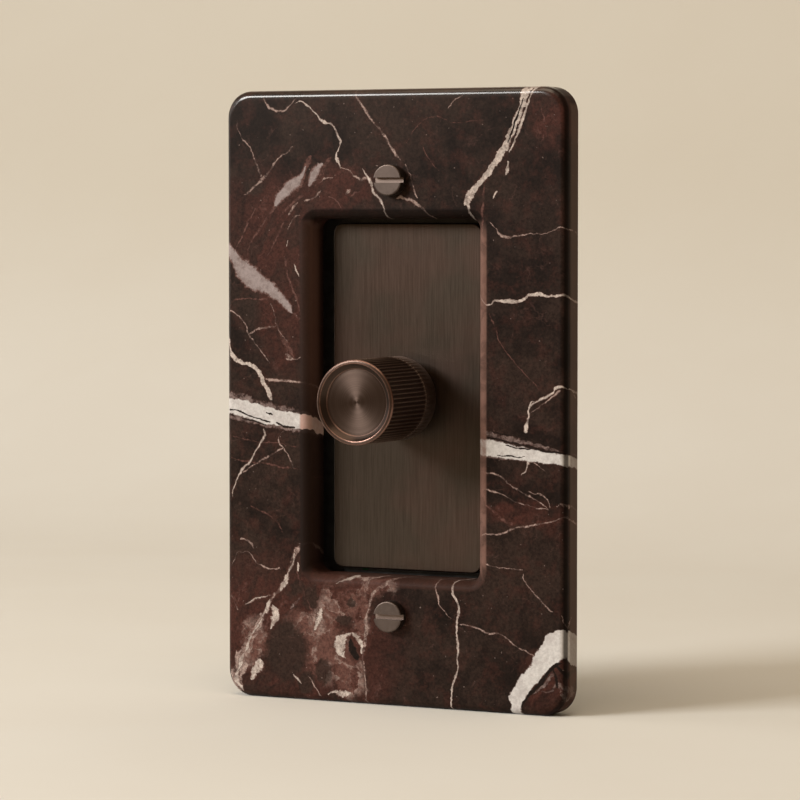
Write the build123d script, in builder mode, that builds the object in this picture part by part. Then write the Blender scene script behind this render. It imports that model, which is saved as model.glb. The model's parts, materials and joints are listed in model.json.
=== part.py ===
from build123d import *
import math
import os

# Wall dimmer switch: a stone cover plate with a bronze insert, and a fluted knob that turns and pushes.
# Millimetres. X is right, Y runs into the wall and Z is up. The origin is the middle of the stone plate's
# back face: the wall plane is Y = 0, the room is at negative Y and the wall box at positive Y.

# Cover plate
screw_pitch = 83.3  # between the two box screws
screw_to_edge = 17.35  # from a screw's centre to the end of the plate
screw_to_window = 7.4  # from a screw's centre to the end of the window
window_width = 36.0
side_border = 18.25  # stone to the left and right of the window
plate_thickness = 6.0
plate_corner_radius = 5.0
plate_edge_round = 1.5
plate_back_chamfer = 0.5
window_corner_radius = 2.0
window_edge_round = 2.0

# Cover screws
cover_screw_diameter = 3.5
cover_shank_diameter = 3.9  # plain part in the stone
cover_screw_reach = 18.0  # how far the tip stands behind the wall plane
cover_screw_clearance = 0.25
cover_head_diameter = 6.0
cover_head_height = 2.1
cover_head_chamfer = 0.25
screw_tip_chamfer = 0.5
slot_width = 1.0
slot_depth = 1.1
slot_overrun = 1.0

# Insert plate
insert_setback = 0.3  # its face behind the wall plane
insert_thickness = 2.0
insert_gap_side = 2.1
insert_gap_end = 0.8
insert_corner_radius = 2.0
insert_edge_chamfer = 0.3
tab_pitch = 34.0
tab_width = 4.0
tab_height = 1.4
tab_length = 1.0
tab_clearance = 0.1

# Mounting strap
strap_thickness = 1.5
strap_overlap = 2.0  # past the window's sides
strap_corner_radius = 4.0
strap_bend_radius = 0.5  # inside a bend
ear_beyond_screw = 7.0
screw_to_joggle = 5.0  # from a box screw's centre to the end of the dropped pan
joggle_length = 1.0
pocket_clearance = 0.8
pocket_depth = 2.0
pocket_corner_radius = 1.2

# Knob
knob_diameter = 16.1
knob_length = 18.5
knob_standout = 21.8  # rim in front of the insert's face
rim_chamfer = 0.3
rim_land = 0.4
dish_diameter = 12.4
dish_depth = 0.9
dish_step = 0.15
flute_count = 60
flute_depth = 0.32
flute_land = 0.18
flute_start = 0.5  # plain rim in front of the flutes
flute_end = 14.3
flute_overrun = 0.05
hollow_depth = 5.0
knob_floor = 3.25  # metal between the dish and the shaft bore
bore_clearance = 0.05
shaft_end_gap = 0.2
grub_diameter = 3.0
grub_recess = 0.5
grub_socket = 1.5
grub_socket_depth = 1.5
grub_clearance = 0.05

# Shaft
shaft_diameter = 6.0
shaft_clearance = 0.1
shaft_flat_depth = 0.8
tip_diameter = 3.6
tip_length = 2.7
clip_diameter = 9.0
clip_thickness = 0.6
clip_groove_depth = 0.5
clip_groove_play = 0.05
clip_mouth = 3.4

# Motion
turn_range = 280.0  # degrees, half of it each way from rest
push_travel = 1.5
end_play = 0.1

# Bushing, nut and washer
barrel_diameter = 8.0
barrel_beyond_nut = 0.8
barrel_clearance = 0.15
flange_thickness = 1.2
nut_across_flats = 11.0
nut_height = 2.0
nut_clearance = 0.3
thread_clearance = 0.05
washer_diameter = 12.6
washer_thickness = 0.5

# Housing
front_cover_thickness = 2.5
case_wall = 1.6
case_corner_radius = 3.0
case_edge_chamfer = 1.0
cover_rib = 1.2
cover_rib_depth = 1.6
cover_rib_clearance = 0.2
bay_width = 15.8  # a bay for components stands at each corner of the board
bay_height = 16.8
bay_gap = 1.0
bay_margin = 1.0
boss_diameter = 5.2
boss_wall_gap = 0.3
boss_rib = 2.0  # joins a boss of the case to its end wall
cover_boss_length = 7.0
case_screw_diameter = 2.5
case_screw_clearance = 0.15
case_screw_grip = 5.0  # thread in the front cover's boss
case_head_diameter = 4.4
case_head_height = 1.6
case_head_clearance = 0.2
case_head_recess = 0.8
earth_screw_diameter = 2.5
earth_head_diameter = 4.6
earth_head_clearance = 0.1
earth_head_height = 1.8
earth_screw_inset = 10.0  # from the strap's left side

# Rotary control
pot_diameter = 22.0
pot_wall = 1.2
pot_floor = 1.2
pot_ledge = 1.0
rotor_thickness = 3.0
rotor_play = 0.5
rotor_running_gap = 0.2
lug_half_angle = 7.0
stop_height = 0.6  # how far the stop stands in from the pot's wall
stop_margin = 2.0  # degrees left at each end of the turn
wiper_thickness = 0.3
wiper_edge_inset = 1.0
wiper_clip_gap = 0.8
wiper_stud_width = 2.0
wiper_stud_height = 1.0
wiper_lift = 1.0
wiper_gap = 0.1
track_clip_gap = 1.0
track_thickness = 1.2
track_clearance = 0.2
track_to_floor = 1.2
pin_size = 0.8
pin_pitch = 4.5
pin_drop = 7.0
pin_slot_clearance = 0.4

# Push switch
switch_width = 13.0
switch_height = 9.6
switch_wall = 1.0
switch_base_thickness = 1.2
switch_clearance = 0.1
nose_clearance = 0.3
plunger_width = 6.0
plunger_height = 5.0
plunger_thickness = 1.6
rivet_diameter = 2.2
rivet_height = 0.3
bridge_clearance = 0.5
bridge_height = 3.0
bridge_thickness = 0.4
contact_inset = 0.4
contact_width = 1.6
contact_button = 0.3
fixed_contact_height = 0.8
spring_thickness = 0.2
spring_width = 2.6
spring_length = 5.6
spring_bend_radius = 0.8

# Circuit board and its parts
board_thickness = 1.6
board_clearance = 0.4
board_standoff = 2.3
post_size = 3.2
post_inset = 2.2
spreader_depth = 2.0  # how far the block stands behind the front cover
spreader_margin = 0.8
spreader_clearance = 0.2
triac_width = 10.2
triac_tab_thickness = 1.3
triac_body_length = 9.2
triac_body_thickness = 4.4
triac_lead_pitch = 2.54
triac_lead_width = 0.8
triac_lead_thickness = 0.5
triac_lead_drop = 1.4
triac_screw_inset = 3.0  # from the end of the tab to the screw's middle
triac_screw_gap = 0.7  # between the screw's head and the body
triac_screw_diameter = 3.0
triac_screw_grip = 3.0
triac_head_diameter = 5.4
triac_head_height = 1.8
choke_diameter = 12.0
choke_height = 10.0
choke_hub_diameter = 5.0
choke_flange = 1.2
winding_inset = 0.6
film_cap_width = 12.0
film_cap_depth = 7.0
film_cap_height = 11.0
film_cap_round = 0.8
smoothing_diameter = 8.0
smoothing_height = 11.5
smoothing_chamfer = 0.6
fuse_width = 8.5
fuse_depth = 4.0
fuse_height = 6.0
chip_length = 5.0
chip_width = 4.0
chip_height = 1.6
chip_lead_pitch = 1.27
chip_lead_width = 0.4
chip_lead_reach = 1.0
chip_lead_height = 0.7

# Terminals on the left side of the case
terminal_spacing = 16.0
terminal_width = 8.0
terminal_length = 10.5
terminal_thickness = 1.0
terminal_tail_width = 4.0
terminal_tail_reach = 2.5  # over the board
terminal_slot_clearance = 0.2
terminal_screw_diameter = 3.5
terminal_screw_inside = 1.4
terminal_head_diameter = 7.0
terminal_head_height = 2.0
terminal_barrier = 1.4

# Sizes that follow from the ones above
plate_width = window_width + 2 * side_border
plate_height = screw_pitch + 2 * screw_to_edge
window_height = screw_pitch - 2 * screw_to_window
insert_width = window_width - 2 * insert_gap_side
insert_height = window_height - 2 * insert_gap_end
strap_width = window_width + 2 * strap_overlap
ear_end = screw_pitch / 2 + ear_beyond_screw
pan_end = screw_pitch / 2 - screw_to_joggle
ear_start = pan_end + joggle_length
strap_outer_bend = strap_bend_radius + strap_thickness
knob_radius = knob_diameter / 2
shaft_radius = shaft_diameter / 2
shaft_flat = shaft_radius - shaft_flat_depth
hollow_diameter = nut_across_flats / math.cos(math.pi / 6) + 2 * nut_clearance
flute_width = math.pi * knob_diameter / flute_count - flute_land
barrel_hole_diameter = barrel_diameter + 2 * barrel_clearance
pot_radius = pot_diameter / 2
pot_inner_radius = pot_radius - pot_wall
ledge_radius = pot_inner_radius - pot_ledge
lug_radius = pot_inner_radius - rotor_running_gap
stop_radius = pot_inner_radius - stop_height
rotor_radius = stop_radius - rotor_running_gap
wiper_radius = rotor_radius - wiper_edge_inset
wiper_inner_radius = clip_diameter / 2 + wiper_clip_gap
track_inner_radius = clip_diameter / 2 + track_clip_gap
wiper_track_radius = (track_inner_radius + wiper_radius) / 2
stop_half_angle = 180 - turn_range / 2 - lug_half_angle - stop_margin
case_inner_width = 2 * (boss_diameter / 2 + bay_gap + bay_width)
case_inner_height = 2 * (pot_radius + bay_gap + bay_height)
case_width = case_inner_width + 2 * case_wall
case_height = case_inner_height + 2 * case_wall
bay_middle_x = case_inner_width / 2 - bay_width / 2
bay_middle_z = case_inner_height / 2 - bay_height / 2
bay_top = case_inner_height / 2
bay_bottom = pot_radius + bay_gap
boss_place = case_inner_height / 2 - boss_diameter / 2 - boss_wall_gap
triac_tab_length = triac_screw_inset + triac_head_diameter / 2 + triac_screw_gap + triac_body_length
board_width = case_inner_width - 2 * board_clearance
board_height = case_inner_height - 2 * board_clearance

# Depths along Y, from the room to the wall box
wall_plane = 0.0
plate_front = wall_plane - plate_thickness
ear_front = wall_plane - pocket_depth
ear_back = ear_front + strap_thickness
insert_front = wall_plane + insert_setback
insert_back = insert_front + insert_thickness
pan_front = insert_back
pan_back = pan_front + strap_thickness
joggle_at_wall = ear_start - (wall_plane - ear_front) * joggle_length / (pan_front - ear_front)
pocket_length = ear_end - joggle_at_wall + 2 * pocket_clearance
pocket_middle = (ear_end + joggle_at_wall) / 2
cover_back = pan_back + front_cover_thickness
flange_back = cover_back + flange_thickness
pot_front = flange_back
rotor_front = pot_front + rotor_play
rotor_back = rotor_front + rotor_thickness
wiper_back = rotor_back + wiper_thickness
track_front = wiper_back + wiper_lift + wiper_gap
track_back = track_front + track_thickness
floor_front = track_back + track_to_floor
pot_back = floor_front + pot_floor
washer_front = insert_front - washer_thickness
nut_front = washer_front - nut_height
barrel_front = nut_front - barrel_beyond_nut
knob_front = insert_front - knob_standout
knob_back = knob_front + knob_length
hollow_front = knob_back - hollow_depth
bore_front = knob_front + dish_depth + dish_step + knob_floor
shaft_front = bore_front + shaft_end_gap
grub_middle = (hollow_front + bore_front) / 2
clip_front = rotor_back + end_play
clip_back = clip_front + clip_thickness
tip_front = clip_back + clip_thickness
tip_back = tip_front + tip_length
nose_front = tip_back + end_play
switch_front = pot_back
plunger_front = switch_front + switch_wall + end_play
plunger_back = plunger_front + plunger_thickness
bridge_back = plunger_back + bridge_thickness
button_back = bridge_back + contact_button
fixed_contact_front = button_back + push_travel + end_play
switch_base_front = fixed_contact_front + fixed_contact_height
rivet_back = bridge_back + rivet_height
board_front = switch_base_front + switch_base_thickness
board_back = board_front + board_thickness
case_floor = board_back + board_standoff
case_back = case_floor + case_wall
spreader_back = cover_back + spreader_depth
tab_back = spreader_back + triac_tab_thickness

os.makedirs("parts", exist_ok=True)


def at_depth(depth):
    """The plane at this depth that faces the room: its x is right, its y is up, and a positive
    extrusion comes out towards the room."""
    return Plane.XZ.offset(-depth)


def d_section(radius, flat):
    """Draw a round section with a flat on its underside in the open sketch."""
    Circle(radius)
    with Locations((0, -flat - radius)):
        Rectangle(2 * radius, 2 * radius, mode=Mode.SUBTRACT)


def ring_sector(inner_radius, outer_radius, half_angle, middle_angle):
    """Draw a piece of a ring in the open sketch, centred on an angle from the x axis."""
    reach = 2 * outer_radius
    spread = math.radians(half_angle)
    Circle(outer_radius)
    Circle(inner_radius, mode=Mode.SUBTRACT)
    with Locations(Location((0, 0, 0), (0, 0, middle_angle))):
        Polygon(
            (0, 0),
            (reach * math.cos(spread), -reach * math.sin(spread)),
            (reach * math.cos(spread), reach * math.sin(spread)),
            align=None,
            mode=Mode.INTERSECT,
        )


def save(builder, name):
    """Name a finished piece and write it."""
    builder.part.label = name
    export_step(builder.part, f"parts/{name}.step")


# Cover plate: one slab of stone, rounded at the front, with two recesses behind for the strap's ears
with BuildPart() as cover_plate:
    with BuildSketch(at_depth(wall_plane)):
        RectangleRounded(plate_width, plate_height, plate_corner_radius)
        RectangleRounded(window_width, window_height, window_corner_radius, mode=Mode.SUBTRACT)
    extrude(amount=plate_thickness)
    plate_face = cover_plate.faces().sort_by(Axis.Y)[0]
    fillet(plate_face.outer_wire().edges(), plate_edge_round)
    plate_face = cover_plate.faces().sort_by(Axis.Y)[0]
    fillet(plate_face.inner_wires()[0].edges(), window_edge_round)
    chamfer(cover_plate.faces().sort_by(Axis.Y)[-1].outer_wire().edges(), plate_back_chamfer)
    with BuildSketch(at_depth(wall_plane)):
        with GridLocations(0, 2 * pocket_middle, 1, 2):
            RectangleRounded(strap_width + 2 * pocket_clearance, pocket_length, pocket_corner_radius)
    extrude(amount=pocket_depth, mode=Mode.SUBTRACT)
    with BuildSketch(at_depth(wall_plane)):
        with GridLocations(0, screw_pitch, 1, 2):
            Circle(cover_shank_diameter / 2 + cover_screw_clearance)
    extrude(amount=plate_thickness, mode=Mode.SUBTRACT)
save(cover_plate, "cover_plate")

# Cover screws: slotted cheese heads on the stone, shanks out of the back for the wall box
with BuildPart() as cover_screws:
    with BuildSketch(at_depth(plate_front)):
        with GridLocations(0, screw_pitch, 1, 2):
            Circle(cover_head_diameter / 2)
    extrude(amount=cover_head_height)
    chamfer(cover_screws.edges().group_by(Axis.Y)[0], cover_head_chamfer)
    with BuildSketch(at_depth(plate_front - cover_head_height)):
        with GridLocations(0, screw_pitch, 1, 2):
            Rectangle(cover_head_diameter + 2 * slot_overrun, slot_width)
    extrude(amount=-slot_depth, mode=Mode.SUBTRACT)
    with BuildSketch(at_depth(cover_screw_reach)):
        with GridLocations(0, screw_pitch, 1, 2):
            Circle(cover_screw_diameter / 2)
    extrude(amount=cover_screw_reach - wall_plane)
    chamfer(cover_screws.edges().group_by(Axis.Y)[-1], screw_tip_chamfer)
    with BuildSketch(at_depth(wall_plane)):
        with GridLocations(0, screw_pitch, 1, 2):
            Circle(cover_shank_diameter / 2)
    extrude(amount=wall_plane - plate_front)
save(cover_screws, "cover_screws")

# Insert plate: its two tabs sit in the strap and keep it from turning
with BuildPart() as insert_plate:
    with BuildSketch(at_depth(insert_back)):
        RectangleRounded(insert_width, insert_height, insert_corner_radius)
    extrude(amount=insert_thickness)
    chamfer(insert_plate.faces().sort_by(Axis.Y)[0].edges(), insert_edge_chamfer)
    with BuildSketch(at_depth(insert_back)):
        Circle(barrel_hole_diameter / 2)
    extrude(amount=insert_thickness, mode=Mode.SUBTRACT)
    with BuildSketch(at_depth(insert_back)):
        with GridLocations(0, tab_pitch, 1, 2):
            Rectangle(tab_width, tab_height)
    extrude(amount=-tab_length)
save(insert_plate, "insert_plate")

earth_left = earth_screw_inset - strap_width / 2
earth_drop = case_height / 2 + earth_head_clearance + earth_head_diameter / 2
earth_place = (earth_left, -earth_drop)

# Mounting strap: one folded sheet, its ears forward in the stone and its pan dropped behind the insert
with BuildPart() as mounting_strap:
    with BuildSketch(Plane.YZ):
        with BuildLine():
            FilletPolyline(
                (ear_front, -ear_end),
                (ear_front, -ear_start),
                (pan_front, -pan_end),
                (pan_front, pan_end),
                (ear_front, ear_start),
                (ear_front, ear_end),
                radius=(strap_outer_bend, strap_bend_radius, strap_bend_radius, strap_outer_bend),
            )
            offset(amount=strap_thickness, side=Side.RIGHT)
        make_face()
    extrude(amount=strap_width / 2, both=True)
    with BuildSketch(at_depth(pan_back)):
        RectangleRounded(strap_width, 2 * ear_end, strap_corner_radius)
    extrude(amount=pan_back - ear_front, mode=Mode.INTERSECT)
    with BuildSketch(at_depth(pan_back)):
        Circle(barrel_hole_diameter / 2)
        with GridLocations(0, tab_pitch, 1, 2):
            Rectangle(tab_width + 2 * tab_clearance, tab_height + 2 * tab_clearance)
        with Locations(earth_place):
            Circle(earth_screw_diameter / 2)
    extrude(amount=strap_thickness, mode=Mode.SUBTRACT)
    with BuildSketch(at_depth(ear_back)):
        with GridLocations(0, screw_pitch, 1, 2):
            Circle(cover_shank_diameter / 2 + cover_screw_clearance)
    extrude(amount=strap_thickness, mode=Mode.SUBTRACT)
save(mounting_strap, "mounting_strap")

# Earth screw: in the strap's pan below the case, its head behind
with BuildPart() as earth_screw:
    with BuildSketch(at_depth(pan_back)):
        with Locations(earth_place):
            Circle(earth_screw_diameter / 2)
    extrude(amount=strap_thickness)
    with BuildSketch(at_depth(pan_back)):
        with Locations(earth_place):
            Circle(earth_head_diameter / 2)
    extrude(amount=-earth_head_height)
    with BuildSketch(at_depth(pan_back + earth_head_height)):
        with Locations(earth_place):
            Rectangle(earth_head_diameter + 2 * slot_overrun, slot_width)
    extrude(amount=slot_depth, mode=Mode.SUBTRACT)
save(earth_screw, "earth_screw")

# Knob: turned, with a dished face, straight flutes round its side and a hollow that clears the nut
disc_front = knob_front + dish_depth + dish_step
with BuildPart() as knob:
    with BuildSketch(Plane.XY):
        with BuildLine():
            Polyline(
                (0, disc_front),
                (dish_diameter / 2, disc_front),
                (dish_diameter / 2, knob_front + dish_depth),
                (knob_radius - rim_chamfer - rim_land, knob_front),
                (knob_radius - rim_chamfer, knob_front),
                (knob_radius, knob_front + rim_chamfer),
                (knob_radius, knob_back - rim_chamfer),
                (knob_radius - rim_chamfer, knob_back),
                (hollow_diameter / 2, knob_back),
                (hollow_diameter / 2, hollow_front),
                (shaft_radius + bore_clearance, hollow_front),
                (shaft_radius + bore_clearance, bore_front),
                (0, bore_front),
                close=True,
            )
        make_face()
    revolve(axis=Axis.Y)
    flute_spread = flute_width / 2 * (flute_depth + flute_overrun) / flute_depth
    with BuildSketch(at_depth(knob_front + flute_start)):
        with PolarLocations(knob_radius, flute_count):
            Polygon(
                (-flute_depth, 0),
                (flute_overrun, -flute_spread),
                (flute_overrun, flute_spread),
                align=None,
            )
    extrude(amount=-(flute_end - flute_start), mode=Mode.SUBTRACT)
    with BuildSketch(Plane.XY.offset(-knob_radius)):
        with Locations((0, grub_middle)):
            Circle(grub_diameter / 2 + grub_clearance)
    extrude(amount=knob_radius, mode=Mode.SUBTRACT)
save(knob, "knob")

# Knob grub screw: under the knob, its end on the flat of the shaft
grub_end = -(knob_radius - grub_recess)
with BuildPart() as knob_grub_screw:
    with BuildSketch(Plane.XY.offset(grub_end)):
        with Locations((0, grub_middle)):
            Circle(grub_diameter / 2)
    extrude(amount=-shaft_flat - grub_end)
    with BuildSketch(Plane.XY.offset(grub_end)):
        with Locations((0, grub_middle)):
            RegularPolygon(grub_socket / 2, 6, major_radius=False)
    extrude(amount=grub_socket_depth, mode=Mode.SUBTRACT)
save(knob_grub_screw, "knob_grub_screw")

# Shaft: a flat at the front for the grub screw, a longer one at the back that slides in the rotor
groove_radius = shaft_radius - clip_groove_depth
with BuildPart() as shaft:
    with BuildSketch(Plane.XY):
        with BuildLine():
            Polyline(
                (0, shaft_front),
                (shaft_radius, shaft_front),
                (shaft_radius, clip_front - clip_groove_play),
                (groove_radius, clip_front - clip_groove_play),
                (groove_radius, clip_back + clip_groove_play),
                (shaft_radius, clip_back + clip_groove_play),
                (shaft_radius, tip_front),
                (tip_diameter / 2, tip_front),
                (tip_diameter / 2, tip_back),
                (0, tip_back),
                close=True,
            )
        make_face()
    revolve(axis=Axis.Y)
    with BuildSketch(at_depth(hollow_front)):
        with Locations((0, -shaft_flat - shaft_radius)):
            Rectangle(2 * shaft_radius, 2 * shaft_radius)
    extrude(amount=hollow_front - shaft_front, mode=Mode.SUBTRACT)
    with BuildSketch(at_depth(tip_front)):
        with Locations((0, -shaft_flat - shaft_radius)):
            Rectangle(2 * shaft_radius, 2 * shaft_radius)
    extrude(amount=tip_front - rotor_front + push_travel + rotor_play, mode=Mode.SUBTRACT)
save(shaft, "shaft")

# Shaft clip: open at the top, in the groove behind the rotor
with BuildPart() as shaft_clip:
    with BuildSketch(at_depth(clip_back)):
        Circle(clip_diameter / 2)
        Circle(groove_radius + clip_groove_play, mode=Mode.SUBTRACT)
        with Locations((0, clip_diameter / 2)):
            Rectangle(clip_mouth, clip_diameter, mode=Mode.SUBTRACT)
    extrude(amount=clip_thickness)
save(shaft_clip, "shaft_clip")

# Bushing: the shaft's bearing, its barrel through the front cover, strap and insert
with BuildPart() as bushing:
    with BuildSketch(Plane.XY):
        with BuildLine():
            Polyline(
                (shaft_radius + shaft_clearance, barrel_front),
                (barrel_diameter / 2, barrel_front),
                (barrel_diameter / 2, cover_back),
                (pot_radius, cover_back),
                (pot_radius, flange_back),
                (shaft_radius + shaft_clearance, flange_back),
                close=True,
            )
        make_face()
    revolve(axis=Axis.Y)
save(bushing, "bushing")

# Lock washer and nut on the bushing's barrel, in front of the insert
with BuildPart() as lock_washer:
    with BuildSketch(at_depth(insert_front)):
        Circle(washer_diameter / 2)
        Circle(barrel_hole_diameter / 2, mode=Mode.SUBTRACT)
    extrude(amount=washer_thickness)
save(lock_washer, "lock_washer")

with BuildPart() as bushing_nut:
    with BuildSketch(at_depth(washer_front)):
        RegularPolygon(nut_across_flats / 2, 6, major_radius=False)
        Circle(barrel_diameter / 2 + thread_clearance, mode=Mode.SUBTRACT)
    extrude(amount=nut_height)
save(bushing_nut, "bushing_nut")

# Heat spreader: a block behind the strap, through a window in the front cover
tab_top = bay_top - bay_margin
tab_bottom = tab_top - triac_tab_length
tab_middle = (bay_middle_x, (tab_top + tab_bottom) / 2)
triac_screw_middle = (bay_middle_x, tab_top - triac_screw_inset)
spreader_width = triac_width + 2 * spreader_margin
with BuildPart() as heat_spreader:
    with BuildSketch(at_depth(spreader_back)):
        with Locations(tab_middle):
            Rectangle(spreader_width, triac_tab_length)
    extrude(amount=spreader_back - pan_back)
    with BuildSketch(at_depth(spreader_back)):
        with Locations(triac_screw_middle):
            Circle(triac_screw_diameter / 2 + thread_clearance)
    extrude(amount=triac_screw_grip, mode=Mode.SUBTRACT)
save(heat_spreader, "heat_spreader")

# Front cover: closes the case behind the strap. Its ribs sit inside the case's long sides, and its bosses
# take the case screws.
rib_middle = case_inner_width / 2 - cover_rib_clearance - cover_rib / 2
cover_boss_back = cover_back + cover_boss_length
with BuildPart() as front_cover:
    with BuildSketch(at_depth(cover_back)):
        RectangleRounded(case_width, case_height, case_corner_radius)
        Circle(barrel_hole_diameter / 2, mode=Mode.SUBTRACT)
        with Locations(tab_middle):
            Rectangle(
                spreader_width + 2 * spreader_clearance,
                triac_tab_length + 2 * spreader_clearance,
                mode=Mode.SUBTRACT,
            )
    extrude(amount=front_cover_thickness)
    with BuildSketch(at_depth(cover_back)):
        with GridLocations(2 * rib_middle, 0, 2, 1):
            Rectangle(cover_rib, case_inner_height - 2 * case_corner_radius)
    extrude(amount=-cover_rib_depth)
    with BuildSketch(at_depth(cover_boss_back)):
        with GridLocations(0, 2 * boss_place, 1, 2):
            Circle(boss_diameter / 2)
            Circle(case_screw_diameter / 2 + thread_clearance, mode=Mode.SUBTRACT)
    extrude(amount=cover_boss_length)
save(front_cover, "front_cover")

# Rear case: screw bosses at its ends, posts under the board and terminal slots in its left side
case_left = -case_width / 2
terminal_middle = board_front - terminal_length / 2
case_head_front = case_back - case_head_recess - case_head_height
with BuildPart() as rear_case:
    with BuildSketch(at_depth(case_back)):
        RectangleRounded(case_width, case_height, case_corner_radius)
    extrude(amount=case_back - cover_back)
    chamfer(rear_case.faces().sort_by(Axis.Y)[-1].edges(), case_edge_chamfer)
    with BuildSketch(at_depth(case_floor)):
        RectangleRounded(case_inner_width, case_inner_height, case_corner_radius - case_wall)
    extrude(amount=case_floor - cover_back, mode=Mode.SUBTRACT)
    with BuildSketch(at_depth(case_floor)):
        with GridLocations(0, 2 * boss_place, 1, 2):
            Circle(boss_diameter / 2)
        with GridLocations(0, case_inner_height / 2 + boss_place, 1, 2):
            Rectangle(boss_rib, case_inner_height / 2 - boss_place)
    extrude(amount=case_floor - cover_boss_back)
    with BuildSketch(at_depth(case_back)):
        with GridLocations(0, 2 * boss_place, 1, 2):
            Circle(case_screw_diameter / 2 + case_screw_clearance)
    extrude(amount=case_back - cover_boss_back, mode=Mode.SUBTRACT)
    with BuildSketch(at_depth(case_back)):
        with GridLocations(0, 2 * boss_place, 1, 2):
            Circle(case_head_diameter / 2 + case_head_clearance)
    extrude(amount=case_back - case_head_front, mode=Mode.SUBTRACT)
    with BuildSketch(at_depth(case_floor)):
        with GridLocations(board_width - 2 * post_inset, board_height - 2 * post_inset, 2, 2):
            Rectangle(post_size, post_size)
    extrude(amount=board_standoff)
    with BuildSketch(Plane.YZ.offset(case_left)):
        with Locations((terminal_middle, 0)):
            with GridLocations(0, terminal_spacing, 1, 2):
                Circle(terminal_screw_diameter / 2 + terminal_slot_clearance)
        with Locations((board_front - terminal_thickness / 2, 0)):
            with GridLocations(0, terminal_spacing, 1, 2):
                Rectangle(
                    terminal_thickness + 2 * terminal_slot_clearance,
                    terminal_tail_width + 2 * terminal_slot_clearance,
                )
    extrude(amount=case_wall, mode=Mode.SUBTRACT)
    with BuildSketch(Plane.YZ.offset(case_left)):
        with Locations((terminal_middle, 0)):
            Rectangle(terminal_length, terminal_barrier)
    extrude(amount=-(terminal_thickness + terminal_head_height))
save(rear_case, "rear_case")

# Case screws: from the back, through the case's bosses into those of the front cover
with BuildPart() as case_screws:
    with BuildSketch(at_depth(case_head_front + case_head_height)):
        with GridLocations(0, 2 * boss_place, 1, 2):
            Circle(case_head_diameter / 2)
    extrude(amount=case_head_height)
    with BuildSketch(at_depth(case_head_front + case_head_height)):
        with GridLocations(0, 2 * boss_place, 1, 2):
            Rectangle(case_head_diameter + 2 * slot_overrun, slot_width)
    extrude(amount=slot_depth, mode=Mode.SUBTRACT)
    with BuildSketch(at_depth(case_head_front)):
        with GridLocations(0, 2 * boss_place, 1, 2):
            Circle(case_screw_diameter / 2)
    extrude(amount=case_head_front - cover_boss_back + case_screw_grip)
save(case_screws, "case_screws")

# Pot housing: a cup behind the bushing's flange, with a ledge for the track and a stop for the rotor's lug
with BuildPart() as pot_housing:
    with BuildSketch(Plane.XY):
        with BuildLine():
            Polyline(
                (tip_diameter / 2 + nose_clearance, floor_front),
                (ledge_radius, floor_front),
                (ledge_radius, track_back),
                (pot_inner_radius, track_back),
                (pot_inner_radius, pot_front),
                (pot_radius, pot_front),
                (pot_radius, pot_back),
                (tip_diameter / 2 + nose_clearance, pot_back),
                close=True,
            )
        make_face()
    revolve(axis=Axis.Y)
    with BuildSketch(at_depth(rotor_back)):
        ring_sector(stop_radius, pot_inner_radius + pot_wall / 2, stop_half_angle, -90)
    extrude(amount=rotor_back - pot_front)
    with BuildSketch(at_depth(pot_back)):
        with Locations((0, -pin_drop)):
            Rectangle(2 * pin_pitch + pin_size + 2 * pin_slot_clearance, pin_size + 2 * pin_slot_clearance)
    extrude(amount=pot_back - track_back, mode=Mode.SUBTRACT)
save(pot_housing, "pot_housing")

# Track board on the ledge, and the three pins from it to the circuit board
with BuildPart() as track_board:
    with BuildSketch(at_depth(track_back)):
        Circle(pot_inner_radius - track_clearance)
        Circle(track_inner_radius, mode=Mode.SUBTRACT)
    extrude(amount=track_thickness)
save(track_board, "track_board")

with BuildPart() as pot_pins:
    with BuildSketch(at_depth(board_front)):
        with Locations((0, -pin_drop)):
            with GridLocations(pin_pitch, 0, 3, 1):
                Rectangle(pin_size, pin_size)
    extrude(amount=board_front - track_back)
save(pot_pins, "pot_pins")

# Wiper rotor: turned by the shaft's flat, with a lug at the top that meets the stop at each end of the turn
with BuildPart() as wiper_rotor:
    with BuildSketch(at_depth(rotor_back)):
        Circle(rotor_radius)
    extrude(amount=rotor_thickness)
    with BuildSketch(at_depth(rotor_back)):
        ring_sector(shaft_diameter, lug_radius, lug_half_angle, 90)
    extrude(amount=rotor_thickness)
    with BuildSketch(at_depth(rotor_back)):
        d_section(shaft_radius + shaft_clearance, shaft_flat + shaft_clearance)
    extrude(amount=rotor_thickness, mode=Mode.SUBTRACT)
save(wiper_rotor, "wiper_rotor")

# Wiper contact: a sprung ring on the rotor's back with two studs on the track
with BuildPart() as wiper_contact:
    with BuildSketch(at_depth(wiper_back)):
        Circle(wiper_radius)
        Circle(wiper_inner_radius, mode=Mode.SUBTRACT)
    extrude(amount=wiper_thickness)
    with BuildSketch(at_depth(wiper_back + wiper_lift)):
        with GridLocations(0, 2 * wiper_track_radius, 1, 2):
            Rectangle(wiper_stud_width, wiper_stud_height)
    extrude(amount=wiper_lift)
save(wiper_contact, "wiper_contact")

# Switch body: a cover over the push contacts, between the pot housing and the board
cavity_width = switch_width - 2 * switch_wall
cavity_height = switch_height - 2 * switch_wall
bridge_length = cavity_width - 2 * bridge_clearance
contact_pitch = bridge_length - contact_width - 2 * contact_inset
with BuildPart() as switch_body:
    with BuildSketch(at_depth(board_front)):
        Rectangle(switch_width, switch_height)
    extrude(amount=board_front - switch_front)
    with BuildSketch(at_depth(board_front)):
        Rectangle(cavity_width, cavity_height)
    extrude(amount=board_front - switch_front - switch_wall, mode=Mode.SUBTRACT)
    with BuildSketch(at_depth(switch_front + switch_wall)):
        Circle(tip_diameter / 2 + nose_clearance)
    extrude(amount=switch_wall, mode=Mode.SUBTRACT)
save(switch_body, "switch_body")

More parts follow.
